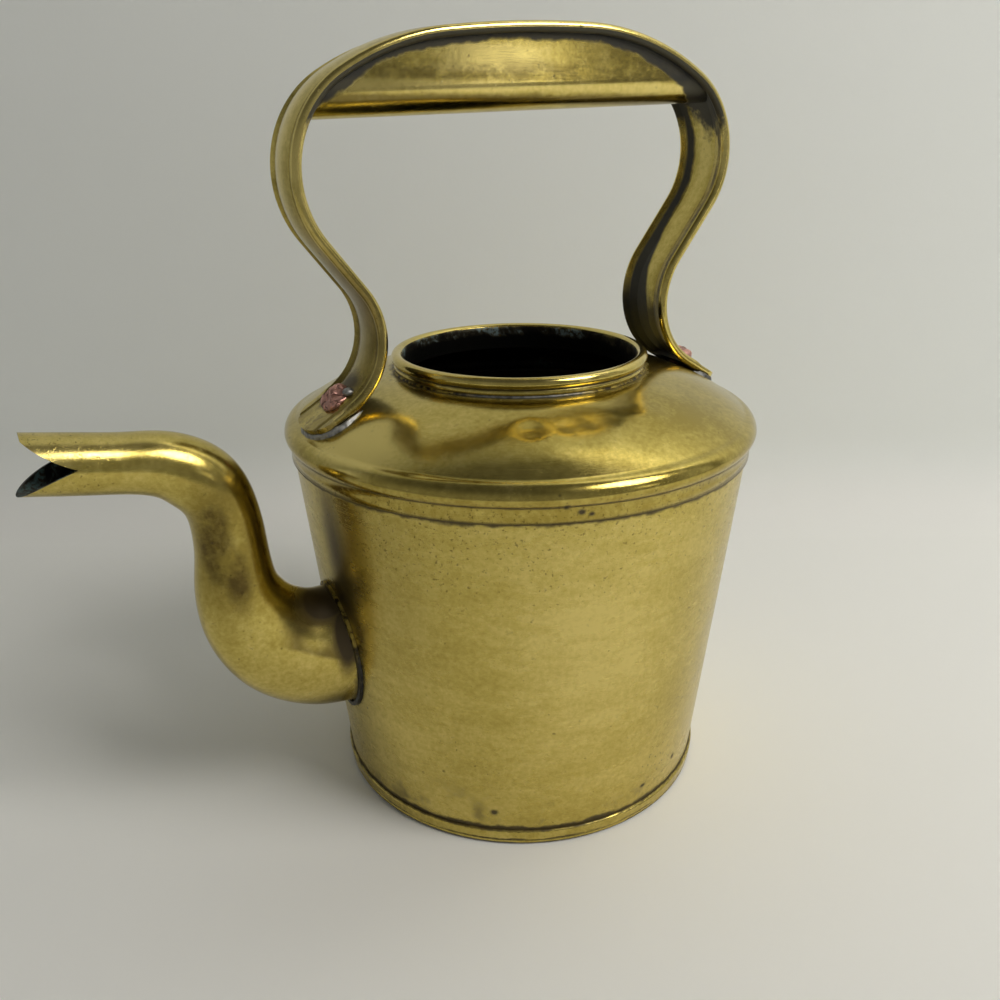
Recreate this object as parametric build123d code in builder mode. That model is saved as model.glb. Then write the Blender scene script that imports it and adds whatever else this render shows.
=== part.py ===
from build123d import *
import math
import os

os.makedirs("parts", exist_ok=True)

# Millimetres. +Z is up, the origin is the centre of the base on the floor,
# the spout points along -X and the handle arches over the top along X.

# ---- sheet and body ----
sheet = 0.9
barrel_foot_radius = 68.9
barrel_top_radius = 81.2
skirt_foot_height = 127.2
skirt_depth = 5.2
skirt_grip = 4.2
base_rim_height = 5.8
base_rim_proud = 1.1
base_solder_leg = 2.2

# ---- shoulder ----
bead_reach = 1.8
bead_rise = 2.9
bead_crown = 4.5
bead_inset = 4.0
dome_radius = 83.0
dome_edge_angle = 35.2

# ---- neck ----
mouth_inset = 39.9
roll_radius = 2.0
roll_skin = 0.7
roll_rise = 4.0
neck_bead_radius = 1.35
neck_bead_rise = 1.1
collar_drop = 3.4
neck_solder_radius = 0.55
neck_solder_lap = 0.4

# ---- handle: bent by hand, so its two halves differ a little; it rises from the neck's seat ----
handle_swing = -3.2
handle_tilt = 2.05
handle_rise = 106.4
crown_radius = 380.0
back_crown_turn = 2.9
back_arch_turn = 31.5
back_bow_radius = 29.0
back_bow_turn = 93.7
back_bend_radius = 26.5
back_foot_length = 18.9
back_foot_inset = 1.74
front_crown_turn = 4.5
front_arch_turn = 24.9
front_bow_radius = 31.8
front_bow_turn = 96.0
front_bend_radius = 24.5
front_foot_length = 15.5
front_foot_inset = 4.01
foot_middle_inset = 8.93
foot_seat = 1.7

# ---- handle strap ----
strap_width = 26.0
strap_bead = 1.7
strap_groove = 0.55
strap_crest = 2.2
strap_hollow = 0.5
strap_dip = -0.6
foot_plate = 1.2
foot_face = 1.0
foot_flat = 12.0
foot_fade = 8.0
foot_round = 8.0

# ---- grip trough under the arch ----
grip_width = 21.6
grip_depth = 23.3
grip_corner = 8.0

# ---- rivets and foot solder ----
rivet_shank_radius = 2.0
rivet_head_radius = 4.9
rivet_head_height = 3.0
rivet_from_tip = 14.3
burr_radius = 4.2
burr_thickness = 1.2
tail_radius = 2.9
tail_height = 1.2
foot_solder_reach = 0.6
foot_solder_flare = 2.2

# ---- spout ----
spout_root_depth = 16.0
spout_root_height = 71.0
spout_root_run = 20.0
spout_rise_bend = 30.0
spout_rise_turn = 86.5
spout_rise = 20.0
spout_tip_bend = 23.0
spout_tip_turn = 77.0
spout_tip_run = 36.0
# Evenly spaced along the bent part: reach above the line, reach below it, width over height.
spout_stations = [
    (15.8, 33.9, 0.58),
    (15.0, 29.4, 0.61),
    (14.7, 18.6, 0.77),
    (13.6, 10.5, 0.94),
    (12.9, 9.3, 0.98),
    (10.9, 8.5, 0.98),
]
spout_tip = (10.9, 9.2, 0.98)
lip_cut = 4.3
notch_depth = 12.8
spout_solder_reach = 1.5
spout_solder_depth = 1.2

# ---- worked out from the sizes above ----
skirt_top_height = skirt_foot_height + skirt_depth
skirt_radius = barrel_top_radius + sheet
bead_radius = skirt_radius + bead_reach
bead_height = skirt_top_height + bead_rise
mouth_radius = barrel_top_radius - mouth_inset
hole_radius = mouth_radius + sheet
edge_sin = math.sin(math.radians(dome_edge_angle))
edge_cos = math.cos(math.radians(dome_edge_angle))
dome_centre_radius = bead_radius - bead_inset - dome_radius * edge_sin
dome_centre_height = bead_height + bead_crown - dome_radius * edge_cos


def barrel_radius(height, skin=0.0):
    """Outside radius of the tapered barrel, moved in by skin."""
    rise = (barrel_top_radius - barrel_foot_radius) / skirt_foot_height
    return barrel_foot_radius + rise * height - skin


def dome_point(radius, skin=0.0):
    """Point on the dome at this radius, moved in by skin."""
    reach = dome_radius - skin
    out = radius - dome_centre_radius
    return (radius, dome_centre_height + math.sqrt(reach**2 - out**2))


def shoulder_points(skin):
    """Points of the shoulder's line from the skirt to the neck hole, moved in by skin."""
    tuck = (skirt_radius - skin, skirt_top_height)
    low_mid = (bead_radius - 0.55 - skin * 0.93, bead_height - 1.75 + skin * 0.3)
    crown = (bead_radius - skin, bead_height)
    high_mid = (bead_radius - 1.05 - skin * 0.85, bead_height + 2.75 - skin * 0.53)
    edge = dome_point(bead_radius - bead_inset - skin * edge_sin, skin)
    middle = dome_point((edge[0] + hole_radius) / 2, skin)
    top = dome_point(hole_radius, skin)
    return tuck, low_mid, crown, high_mid, edge, middle, top


seat_height = dome_point(hole_radius)[1]
roll_height = seat_height + roll_rise
neck_bead_height = seat_height + neck_bead_rise
collar_foot_height = seat_height - collar_drop

# ---- the spout's line: a bent part that is swept, then a straight tip ----
spout_start = barrel_radius(spout_root_height) - spout_root_depth
with BuildLine(Plane.XZ) as spout_spine:
    root_run = Line(
        (-spout_start, spout_root_height),
        (-spout_start - spout_root_run, spout_root_height),
    )
    rise_bend = JernArc(root_run @ 1, root_run % 1, spout_rise_bend, -spout_rise_turn)
    rise = Line(rise_bend @ 1, (rise_bend @ 1) + (rise_bend % 1) * spout_rise)
    JernArc(rise @ 1, rise % 1, spout_tip_bend, spout_tip_turn)
spout_line = spout_spine.wires()[0]
spout_end = spout_line @ 1 + (spout_line % 1) * spout_tip_run


def oval_plane(point, along, reach):
    """Plane across the spout, its local Y towards the inside of the first bend."""
    inward = Vector(along.Z, 0, -along.X)
    centre = point + inward * ((reach[0] - reach[1]) / 2)
    return Plane(origin=centre, x_dir=(0, 1, 0), z_dir=along)


def oval(reach, grow):
    """Oval outline of the spout at one place, moved out by grow."""
    half_height = (reach[0] + reach[1]) / 2
    return Ellipse(reach[2] * half_height + grow, half_height + grow)


def spout_skin(grow):
    """Solid spout along the whole line, its outside moved out by grow."""
    with BuildPart() as skin:
        for number, reach in enumerate(spout_stations):
            share = number / (len(spout_stations) - 1)
            with BuildSketch(oval_plane(spout_line @ share, spout_line % share, reach)):
                oval(reach, grow)
        sweep(path=spout_line, multisection=True)
        with BuildSketch(oval_plane(spout_line @ 1, spout_line % 1, spout_stations[-1])):
            oval(spout_stations[-1], grow)
        with BuildSketch(oval_plane(spout_end, spout_line % 1, spout_tip)):
            oval(spout_tip, grow)
        loft()
    return skin.part


spout_outside = spout_skin(0)
spout_inside = spout_skin(-sheet)

# ---- barrel: tapered tube that stands on the base plate ----
with BuildPart() as barrel:
    with BuildSketch(Plane.XZ):
        with BuildLine():
            Polyline(
                (barrel_radius(sheet), sheet),
                (barrel_top_radius, skirt_foot_height),
                (barrel_top_radius, skirt_foot_height + skirt_grip),
                (barrel_top_radius - sheet, skirt_foot_height + skirt_grip),
                (barrel_top_radius - sheet, skirt_foot_height),
                (barrel_radius(sheet, sheet), sheet),
                close=True,
            )
        make_face()
    revolve(axis=Axis.Z)
    add(spout_inside, mode=Mode.SUBTRACT)

# The barrel filled to its axis, used to trim what meets its outside.
with BuildPart() as barrel_core:
    with BuildSketch(Plane.XZ):
        with BuildLine():
            Polyline(
                (0, 0),
                (barrel_radius(0), 0),
                (barrel_top_radius, skirt_foot_height),
                (0, skirt_foot_height),
                close=True,
            )
        make_face()
    revolve(axis=Axis.Z)

# ---- base plate: disc with its edge folded up round the barrel ----
rim_radius = barrel_radius(0) + base_rim_proud
with BuildPart() as base_plate:
    with BuildSketch(Plane.XZ):
        with BuildLine():
            floor_line = Line((0, 0), (rim_radius - 0.9, 0))
            low_roll = ThreePointArc(floor_line @ 1, (rim_radius, 0.85), (rim_radius - 0.3, 1.75))
            fold = Line(low_roll @ 1, (rim_radius + 0.25, 2.2))
            band = Line(fold @ 1, (rim_radius + 0.45, base_rim_height - 0.9))
            lip = ThreePointArc(
                band @ 1,
                (rim_radius + 0.2, base_rim_height - 0.2),
                (barrel_radius(base_rim_height), base_rim_height),
            )
            inside = Line(lip @ 1, (barrel_radius(sheet), sheet))
            top_line = Line(inside @ 1, (0, sheet))
            Line(top_line @ 1, floor_line @ 0)
        make_face()
    revolve(axis=Axis.Z)

# ---- soft solder in the corner between the barrel and the base plate ----
with BuildPart() as base_solder:
    corner = barrel_radius(sheet, sheet)
    with BuildSketch(Plane.XZ):
        with BuildLine():
            wall_top = barrel_radius(sheet + base_solder_leg, sheet)
            wall = Line((wall_top, sheet + base_solder_leg), (corner, sheet))
            floor_leg = Line(wall @ 1, (corner - base_solder_leg, sheet))
            hollow = (corner - base_solder_leg * 0.3, sheet + base_solder_leg * 0.3)
            ThreePointArc(floor_leg @ 1, hollow, wall @ 0)
        make_face()
    revolve(axis=Axis.Z)


# ---- the handle's line ----
def side_plane(swing):
    """Upright plane through the can's axis, its local X reaching outwards this way."""
    turn = math.radians(swing)
    x_dir = (math.cos(turn), math.sin(turn), 0)
    return Plane(origin=(0, 0, 0), x_dir=x_dir, z_dir=(math.sin(turn), -math.cos(turn), 0))


back_side = side_plane(handle_swing)
front_side = side_plane(handle_swing + 180)


handle_height = seat_height + handle_rise
foot_sin = (bead_radius - foot_middle_inset - dome_centre_radius) / dome_radius
foot_slope = math.degrees(math.asin(foot_sin))


def fit_half(tilt, crown_turn, arch_turn, bow, bend_radius, foot_length, foot_inset):
    """Arch radius and leg length that land the foot's tip on the dome, foot_inset inside the bead."""
    falls = [-tilt, crown_turn - tilt, crown_turn + arch_turn - tilt]
    falls += [falls[2] + bow[1], foot_slope]
    sines = [math.sin(math.radians(fall)) for fall in falls]
    levels = [math.cos(math.radians(fall)) for fall in falls]
    tip_radius = bead_radius - foot_inset
    off_axis = (tip_radius - dome_centre_radius) * sines[4]
    tip_height = dome_centre_height + (dome_radius + foot_seat - off_axis) / levels[4]
    reach = tip_radius - crown_radius * (sines[1] - sines[0]) - bow[0] * (sines[3] - sines[2])
    reach -= bend_radius * (sines[3] - sines[4]) + foot_length * levels[4]
    drop = handle_height - tip_height - crown_radius * (levels[0] - levels[1])
    drop -= bow[0] * (levels[2] - levels[3]) + bend_radius * (levels[4] - levels[3])
    drop -= foot_length * sines[4]
    arch_reach = sines[2] - sines[1]
    arch_drop = levels[1] - levels[2]
    cross = arch_reach * sines[3] - arch_drop * levels[3]
    arch_radius = (reach * sines[3] - drop * levels[3]) / cross
    leg_length = (arch_reach * drop - arch_drop * reach) / cross
    return arch_radius, leg_length


def half_arch(tilt, crown_turn, arch, bow, grow=0.0):
    """Crown, arch and bow of one half of the handle, moved out by grow."""
    heading = (math.cos(math.radians(tilt)), math.sin(math.radians(tilt)))
    top = (-grow * heading[1], handle_height + grow * heading[0])
    crown = JernArc(top, heading, crown_radius + grow, -crown_turn)
    arch_arc = JernArc(crown @ 1, crown % 1, arch[0] + grow, -arch[1])
    bow_arc = JernArc(arch_arc @ 1, arch_arc % 1, bow[0] + grow, -bow[1])
    return crown, bow_arc


def half_handle(plane, bends, leg_length, bend_radius, foot_length):
    """Line of one half of the handle, from the middle of the grip to the tip of its foot."""
    tilt, crown_turn, arch, bow = bends
    fall = crown_turn + arch[1] + bow[1] - tilt
    with BuildLine(plane) as half:
        crown, bow_arc = half_arch(*bends)
        leg = Line(bow_arc @ 1, (bow_arc @ 1) + (bow_arc % 1) * leg_length)
        bend = JernArc(leg @ 1, leg % 1, bend_radius, fall - foot_slope)
        Line(bend @ 1, (bend @ 1) + (bend % 1) * foot_length)
    return half.wires()[0]


back_bow = (back_bow_radius, back_bow_turn)
back_shape = (handle_tilt, back_crown_turn, back_arch_turn, back_bow)
back_arch, back_leg = fit_half(*back_shape, back_bend_radius, back_foot_length, back_foot_inset)
back_bends = (handle_tilt, back_crown_turn, (back_arch, back_arch_turn), back_bow)
back_line = half_handle(back_side, back_bends, back_leg, back_bend_radius, back_foot_length)

front_bow = (front_bow_radius, front_bow_turn)
front_shape = (-handle_tilt, front_crown_turn, front_arch_turn, front_bow)
front_arch, front_leg = fit_half(*front_shape, front_bend_radius, front_foot_length, front_foot_inset)
front_bends = (-handle_tilt, front_crown_turn, (front_arch, front_arch_turn), front_bow)
front_line = half_handle(front_side, front_bends, front_leg, front_bend_radius, front_foot_length)


def foot_plane(plane, line, from_tip, out=0.0):
    """Plane lying on a foot, local X up the foot from its tip, local Y across it."""
    along = line % 1
    lift = plane.z_dir.cross(along)
    return Plane(origin=(line @ 1) - along * from_tip + lift * out, x_dir=along * -1, z_dir=lift)


def foot_side(plane, line):
    """Plane along a foot, local X up the foot from its tip, local Y away from the dome."""
    return Plane(origin=line @ 1, x_dir=(line % 1) * -1, z_dir=plane.z_dir * -1)


tail_depth = foot_seat + 2 * sheet + burr_thickness


def rivet_shank(plane, line):
    """Shank of one rivet, from inside its head to its tail."""
    top = foot_face + rivet_head_height / 2
    with BuildPart() as shank:
        with BuildSketch(foot_plane(plane, line, rivet_from_tip, top)):
            Circle(rivet_shank_radius)
        extrude(amount=-(top + tail_depth))
    return shank.part


back_shank = rivet_shank(back_side, back_line)
front_shank = rivet_shank(front_side, front_line)

# ---- shoulder: dome, rolled bead and the skirt over the barrel's top ----
with BuildPart() as shoulder:
    outer = shoulder_points(0)
    inner = shoulder_points(sheet)
    with BuildSketch(Plane.XZ):
        with BuildLine():
            skirt = Line((skirt_radius, skirt_foot_height), outer[0])
            ThreePointArc(outer[0], outer[1], outer[2])
            ThreePointArc(outer[2], outer[3], outer[4])
            ThreePointArc(outer[4], outer[5], outer[6])
            Line(outer[6], inner[6])
            ThreePointArc(inner[6], inner[5], inner[4])
            ThreePointArc(inner[4], inner[3], inner[2])
            ThreePointArc(inner[2], inner[1], inner[0])
            skirt_inside = Line(inner[0], (barrel_top_radius, skirt_foot_height))
            Line(skirt_inside @ 1, skirt @ 0)
        make_face()
    revolve(axis=Axis.Z)
    add(back_shank, mode=Mode.SUBTRACT)
    add(front_shank, mode=Mode.SUBTRACT)


def shoulder_fill(skin):
    """The shoulder moved in by skin and filled to its axis, used to trim what lies on it."""
    tuck, low_mid, crown, high_mid, edge, middle, top = shoulder_points(skin)
    with BuildPart() as filled:
        with BuildSketch(Plane.XZ):
            with BuildLine():
                ThreePointArc(tuck, low_mid, crown)
                ThreePointArc(crown, high_mid, edge)
                ThreePointArc(edge, middle, top)
                Polyline(top, (0, top[1]), (0, tuck[1]), tuck)
            make_face()
        revolve(axis=Axis.Z)
    return filled.part


# ---- neck: short collar, its edge rolled over a wire, a bead at its foot ----
with BuildPart() as neck_collar:
    with BuildSketch(Plane.XZ):
        with Locations((mouth_radius + sheet / 2, collar_foot_height)):
            Rectangle(sheet, roll_height - collar_foot_height, align=(Align.CENTER, Align.MIN))
        with Locations((mouth_radius + roll_radius, roll_height)):
            Circle(roll_radius)
        with Locations((hole_radius + neck_bead_radius * 0.7, neck_bead_height)):
            Circle(neck_bead_radius)
        with Locations((mouth_radius + roll_radius, roll_height)):
            Circle(roll_radius - roll_skin, mode=Mode.SUBTRACT)
    revolve(axis=Axis.Z)
    add(shoulder.part, mode=Mode.SUBTRACT)

with BuildPart() as neck_wire:
    with BuildSketch(Plane.XZ):
        with Locations((mouth_radius + roll_radius, roll_height)):
            Circle(roll_radius - roll_skin)
    revolve(axis=Axis.Z)

# The solder ring lies in the corner between the neck's bead and the dome, lapping both.
bead_out = hole_radius + neck_bead_radius * 0.7 - dome_centre_radius
bead_up = neck_bead_height - dome_centre_height
bead_span = math.hypot(bead_out, bead_up)
solder_near = neck_bead_radius + neck_solder_radius - neck_solder_lap / 2
solder_far = dome_radius + neck_solder_radius - neck_solder_lap
solder_cos = (bead_span**2 + solder_far**2 - solder_near**2) / (2 * bead_span * solder_far)
solder_bearing = math.atan2(bead_out, bead_up) + math.acos(solder_cos)
solder_out = dome_centre_radius + solder_far * math.sin(solder_bearing)
solder_up = dome_centre_height + solder_far * math.cos(solder_bearing)
with BuildPart() as neck_solder:
    with BuildSketch(Plane.XZ):
        with Locations((solder_out, solder_up)):
            Circle(neck_solder_radius)
    revolve(axis=Axis.Z)
    add(shoulder.part, mode=Mode.SUBTRACT)
    add(neck_collar.part, mode=Mode.SUBTRACT)

# ---- spout: swan neck with a fish-mouth tip ----
with BuildPart() as spout:
    add(spout_outside)
    add(spout_inside, mode=Mode.SUBTRACT)
    add(barrel_core.part, mode=Mode.SUBTRACT)
    lip_x = spout_end.X + lip_cut
    notch = (lip_x + notch_depth, spout_end.Z - 0.9)
    with BuildSketch(Plane.XZ):
        with BuildLine():
            lip_end = Line((lip_x, spout_end.Z + 20), (lip_x, spout_end.Z + 8.4))
            upper_mid = (lip_x + notch_depth * 0.37, spout_end.Z + 4.0)
            upper_lip = ThreePointArc(lip_end @ 1, upper_mid, notch)
            lower_mid = (lip_x + notch_depth * 0.37, spout_end.Z - 4.7)
            lower_lip = ThreePointArc(notch, lower_mid, (lip_x - 5.0, spout_end.Z - 10.1))
            far_x = lip_x - 20
            Polyline(lower_lip @ 1, (far_x, spout_end.Z - 20), (far_x, spout_end.Z + 20), lip_end @ 0)
        make_face()
    extrude(amount=spout_stations[0][1], both=True, mode=Mode.SUBTRACT)

# ---- solder bead round the spout's root ----
with BuildPart() as spout_solder:
    add(spout_skin(spout_solder_reach))
    with BuildSketch(Plane.XZ):
        with BuildLine():
            Polyline(
                (0, 0),
                (barrel_radius(0) + spout_solder_depth, 0),
                (barrel_top_radius + spout_solder_depth, skirt_foot_height),
                (0, skirt_foot_height),
                close=True,
            )
        make_face()
    revolve(axis=Axis.Z, mode=Mode.INTERSECT)
    add(barrel_core.part, mode=Mode.SUBTRACT)
    add(spout_outside, mode=Mode.SUBTRACT)


# ---- handle strap ----
def strap_section():
    """Moulded strap outline: two edge beads, two grooves, a raised middle, a hollow back."""
    half = strap_width / 2
    bead = strap_bead
    step = strap_groove + (strap_crest - strap_groove) * 0.4
    left = ThreePointArc((-half + bead, -bead), (-half, 0), (-half + bead, bead))
    left_groove = Line(left @ 1, (-half + 2.2 * bead, strap_groove))
    left_step = Line(left_groove @ 1, (-half + 3.2 * bead, step))
    crown = ThreePointArc(left_step @ 1, (0, strap_crest), (half - 3.2 * bead, step))
    right_step = Line(crown @ 1, (half - 2.2 * bead, strap_groove))
    right_groove = Line(right_step @ 1, (half - bead, bead))
    right = ThreePointArc(right_groove @ 1, (half, 0), (half - bead, -bead))
    right_in = Line(right @ 1, (half - 2.2 * bead, strap_dip))
    right_slope = Line(right_in @ 1, (half - 4.6 * bead, strap_hollow))
    flat = Line(right_slope @ 1, (-half + 4.6 * bead, strap_hollow))
    left_slope = Line(flat @ 1, (-half + 2.2 * bead, strap_dip))
    Line(left_slope @ 1, left @ 0)


def half_strap(plane, line, shank, foot_length):
    """Half of the strap: its mouldings die away into a plain, round-ended foot."""
    with BuildPart() as half:
        with BuildSketch(Plane(origin=line @ 0, x_dir=plane.z_dir * -1, z_dir=line % 0)):
            with BuildLine():
                strap_section()
            make_face()
        sweep(path=line)
        with BuildSketch(foot_plane(plane, line, 0, -foot_plate)):
            Rectangle(foot_length, strap_width - 2 * strap_bead, align=(Align.MIN, Align.CENTER))
        extrude(amount=foot_plate + strap_hollow + 0.1)
        with BuildSketch(foot_side(plane, line)):
            with BuildLine():
                Polyline(
                    (-2, foot_face),
                    (foot_flat, foot_face),
                    (foot_flat + foot_fade, strap_crest + 0.4),
                    (foot_flat + foot_fade, strap_crest + 4),
                    (-2, strap_crest + 4),
                    close=True,
                )
            make_face()
        extrude(amount=strap_width, both=True, mode=Mode.SUBTRACT)
        with BuildSketch(foot_plane(plane, line, 0, -4)):
            with Locations((-4, 0)):
                Rectangle(4 + foot_round, strap_width + 2, align=(Align.MIN, Align.CENTER))
            with Locations((foot_round, 0)):
                Ellipse(foot_round, strap_width / 2, mode=Mode.SUBTRACT)
        extrude(amount=8, mode=Mode.SUBTRACT)
        add(shank, mode=Mode.SUBTRACT)
    return half.part


with BuildPart() as handle_strap:
    add(half_strap(back_side, back_line, back_shank, back_foot_length))
    add(half_strap(front_side, front_line, front_shank, front_foot_length))

# ---- grip trough: hollow U under the arch, trimmed to the strap ----
with BuildPart() as under_arch:
    for plane, bends in ((back_side, back_bends), (front_side, front_bends)):
        with BuildSketch(plane):
            with BuildLine():
                crown, bow_arc = half_arch(*bends, strap_hollow)
                low = bow_arc @ 1
                Polyline(low, (0, low.Z), crown @ 0)
            make_face()
        extrude(amount=strap_width, both=True)

grip_plane = Plane(origin=(0, 0, handle_height), x_dir=back_side.z_dir * -1, z_dir=back_line % 0)
with BuildPart() as grip_trough:
    with BuildSketch(grip_plane):
        with BuildLine():
            half = grip_width / 2
            outside = FilletPolyline(
                (-half, 4), (-half, -grip_depth), (half, -grip_depth), (half, 4), radius=grip_corner
            )
            half -= sheet
            floor = sheet - grip_depth
            inside = FilletPolyline(
                (half, 4), (half, floor), (-half, floor), (-half, 4), radius=grip_corner - sheet
            )
            Line(outside @ 1, inside @ 0)
            Line(inside @ 1, outside @ 0)
        make_face()
    extrude(amount=back_bow_radius * 4, both=True)
    add(under_arch.part, mode=Mode.INTERSECT)
    add(handle_strap.part, mode=Mode.SUBTRACT)


# ---- copper rivets through the feet, with burrs and spread tails inside ----
def rivet(plane, line, shank):
    """One rivet: rounded head on the foot, shank, spread tail under the burr."""
    head_plane = foot_plane(plane, line, rivet_from_tip, foot_face)
    with BuildPart() as whole:
        with BuildSketch(head_plane):
            Circle(rivet_head_radius)
        extrude(amount=rivet_head_height)
        top_point = head_plane.origin + head_plane.z_dir * 30
        head_top = whole.faces().filter_by(GeomType.PLANE).sort_by_distance(top_point)[0]
        fillet(head_top.edges(), rivet_head_height * 0.7)
        add(shank)
        with BuildSketch(foot_plane(plane, line, rivet_from_tip, -tail_depth)):
            Circle(tail_radius)
        extrude(amount=-tail_height)
        add(handle_strap.part, mode=Mode.SUBTRACT)
    return whole.part


def burr(plane, line):
    """Washer under the dome that the rivet's tail is spread over."""
    with BuildPart() as washer:
        with BuildSketch(foot_plane(plane, line, rivet_from_tip, -tail_depth)):
            Circle(burr_radius)
            Circle(rivet_shank_radius, mode=Mode.SUBTRACT)
        extrude(amount=tail_depth)
        add(shoulder_fill(sheet), mode=Mode.INTERSECT)
    return washer.part


def foot_solder(plane, line, shank, foot_length):
    """Solder under one foot and in a low slope round it."""
    steps = ((0.2, foot_solder_reach), (foot_seat + 3 * sheet, foot_solder_reach + foot_solder_flare))
    with BuildPart() as solder:
        for depth, reach in steps:
            with BuildSketch(foot_plane(plane, line, foot_round, -depth)):
                Ellipse(foot_round + reach, strap_width / 2 + reach)
        loft()
        for depth, reach in steps:
            with BuildSketch(foot_plane(plane, line, foot_round, -depth)):
                Rectangle(foot_length - foot_round, strap_width + 2 * reach, align=(Align.MIN, Align.CENTER))
        loft()
        add(shoulder_fill(0), mode=Mode.SUBTRACT)
        add(handle_strap.part, mode=Mode.SUBTRACT)
        add(shank, mode=Mode.SUBTRACT)
    return solder.part


# ---- labels and files ----
nodes = {
    "barrel": barrel.part,
    "base_plate": base_plate.part,
    "base_solder": base_solder.part,
    "shoulder": shoulder.part,
    "neck_collar": neck_collar.part,
    "neck_wire": neck_wire.part,
    "neck_solder": neck_solder.part,
    "spout": spout.part,
    "spout_solder": spout_solder.part,
    "handle_strap": handle_strap.part,
    "grip_trough": grip_trough.part,
    "front_rivet": rivet(front_side, front_line, front_shank),
    "back_rivet": rivet(back_side, back_line, back_shank),
    "front_burr": burr(front_side, front_line),
    "back_burr": burr(back_side, back_line),
    "front_foot_solder": foot_solder(front_side, front_line, front_shank, front_foot_length),
    "back_foot_solder": foot_solder(back_side, back_line, back_shank, back_foot_length),
}
for name, node in nodes.items():
    node.label = name
    export_step(node, f"parts/{name}.step")
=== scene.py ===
"""Looks of an old brass hot water can with a swan-neck spout and a riveted, hand-bent handle."""
from contextlib import contextmanager
import math
import bpy
from mathutils import Matrix, Vector


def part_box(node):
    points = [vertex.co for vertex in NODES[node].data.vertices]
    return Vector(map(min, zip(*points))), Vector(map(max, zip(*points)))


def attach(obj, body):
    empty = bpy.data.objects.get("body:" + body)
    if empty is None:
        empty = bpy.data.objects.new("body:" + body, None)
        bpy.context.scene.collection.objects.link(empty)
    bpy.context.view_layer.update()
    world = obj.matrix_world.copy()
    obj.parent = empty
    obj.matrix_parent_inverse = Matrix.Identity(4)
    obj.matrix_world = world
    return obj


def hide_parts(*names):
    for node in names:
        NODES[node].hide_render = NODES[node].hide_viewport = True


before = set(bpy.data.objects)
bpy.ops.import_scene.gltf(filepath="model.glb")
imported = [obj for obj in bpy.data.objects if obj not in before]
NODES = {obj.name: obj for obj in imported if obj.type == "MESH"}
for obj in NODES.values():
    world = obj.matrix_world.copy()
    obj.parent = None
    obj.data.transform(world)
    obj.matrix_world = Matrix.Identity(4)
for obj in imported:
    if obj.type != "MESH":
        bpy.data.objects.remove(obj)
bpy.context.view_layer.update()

bl_info = {
    "name": "Brass Hot Water Can",
    "version": (1, 0, 0),
    "blender": (4, 5, 0),
    "location": "View3D > Sidebar > Water Can",
    "description": "Worn brass, beaten copper rivets, soft solder and a pale stage for a hot water can",
    "category": "Object",
}

SHEET = 0.0009                             # thickness of the brass sheet
HANDLE_SWING = math.radians(-3.2)          # the handle's turn about the can's axis
FOOT_SLOPE = math.radians(31.13)           # slope of the dome under the handle's feet
BARREL_TAPER = math.radians(5.5)           # lean of the barrel's side
MERGE = 0.00001                            # points this near are one point
RIVET_STAND = 0.003                        # height of a rivet's head off the foot in the CAD
SHANK_RADIUS = 0.002                       # radius of a rivet's shank
AXIS_POINT = Vector((0.0, 0.0, 0.08))      # on the can's axis, inside the barrel
HANDLE_MIDDLE = Vector((0.0, 0.0, 0.14))   # on the axis, between the handle's legs

CAMERA_PLACE = (-0.1659, -0.2718, 0.23154)
VIEW_HEADING = math.radians(30.08)         # from +Y towards +X
VIEW_DOWN = math.radians(22.18)            # how far the camera looks down
VIEW_LEAN = math.radians(-0.6)             # how far it leans to one side
VIEW_AHEAD = Vector((math.sin(VIEW_HEADING), math.cos(VIEW_HEADING), 0))
VIEW_RIGHT = Vector((math.cos(VIEW_HEADING), -math.sin(VIEW_HEADING), 0))

# What the settings below share.
COLOUR = {"subtype": "COLOR", "size": 3, "min": 0, "max": 1}
LENGTH = {"subtype": "DISTANCE", "unit": "LENGTH"}


# ---------------------------------------------------------------- settings
class BrassSettings(bpy.types.PropertyGroup):
    """Tones and wear of the brass."""

    # Also the tone that painted highlights lift the brass to.
    light: bpy.props.FloatVectorProperty(
        name="Rubbed brass", description="Where hands keep the brass bright",
        default=(0.74, 0.60, 0.20), **COLOUR)
    middle: bpy.props.FloatVectorProperty(
        name="Brass", description="Most of the surface",
        default=(0.56, 0.445, 0.115), **COLOUR)
    deep: bpy.props.FloatVectorProperty(
        name="Dulled brass", description="Cloudy, tarnished places",
        default=(0.40, 0.305, 0.065), **COLOUR)
    # Also the colour of painted shade: beside the spout's root, along the base's foot and in the spout's
    # crook.
    grime_and_shade: bpy.props.FloatVectorProperty(
        name="Grime", description="Brown dirt that settles in the corners",
        default=(0.035, 0.022, 0.009), **COLOUR)
    # Also the colour of painted dark reflections on the barrel, shoulder, spout, strap and grip.
    smoke_and_dark_reflection: bpy.props.FloatVectorProperty(
        name="Smoked brass", description="Brass gone brown but still shiny",
        default=(0.090, 0.060, 0.020), **COLOUR)
    # On the grip it also paints the strap's shadow.
    patina_and_shadow: bpy.props.FloatVectorProperty(
        name="Patina", description="Dark blue-grey skin under the handle",
        default=(0.017, 0.019, 0.021), **COLOUR)
    verdigris: bpy.props.FloatVectorProperty(
        name="Verdigris", description="Blue-green crust where water stands",
        default=(0.10, 0.20, 0.19), **COLOUR)
    roughness: bpy.props.FloatProperty(
        name="Roughness", description="Roughness of the rubbed brass",
        subtype="FACTOR", min=0.02, max=1, default=0.19)
    waviness: bpy.props.FloatProperty(
        name="Waviness", description="Depth of the slow waves that hammering left",
        min=0, max=0.002, default=0.0003, **LENGTH)


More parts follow.
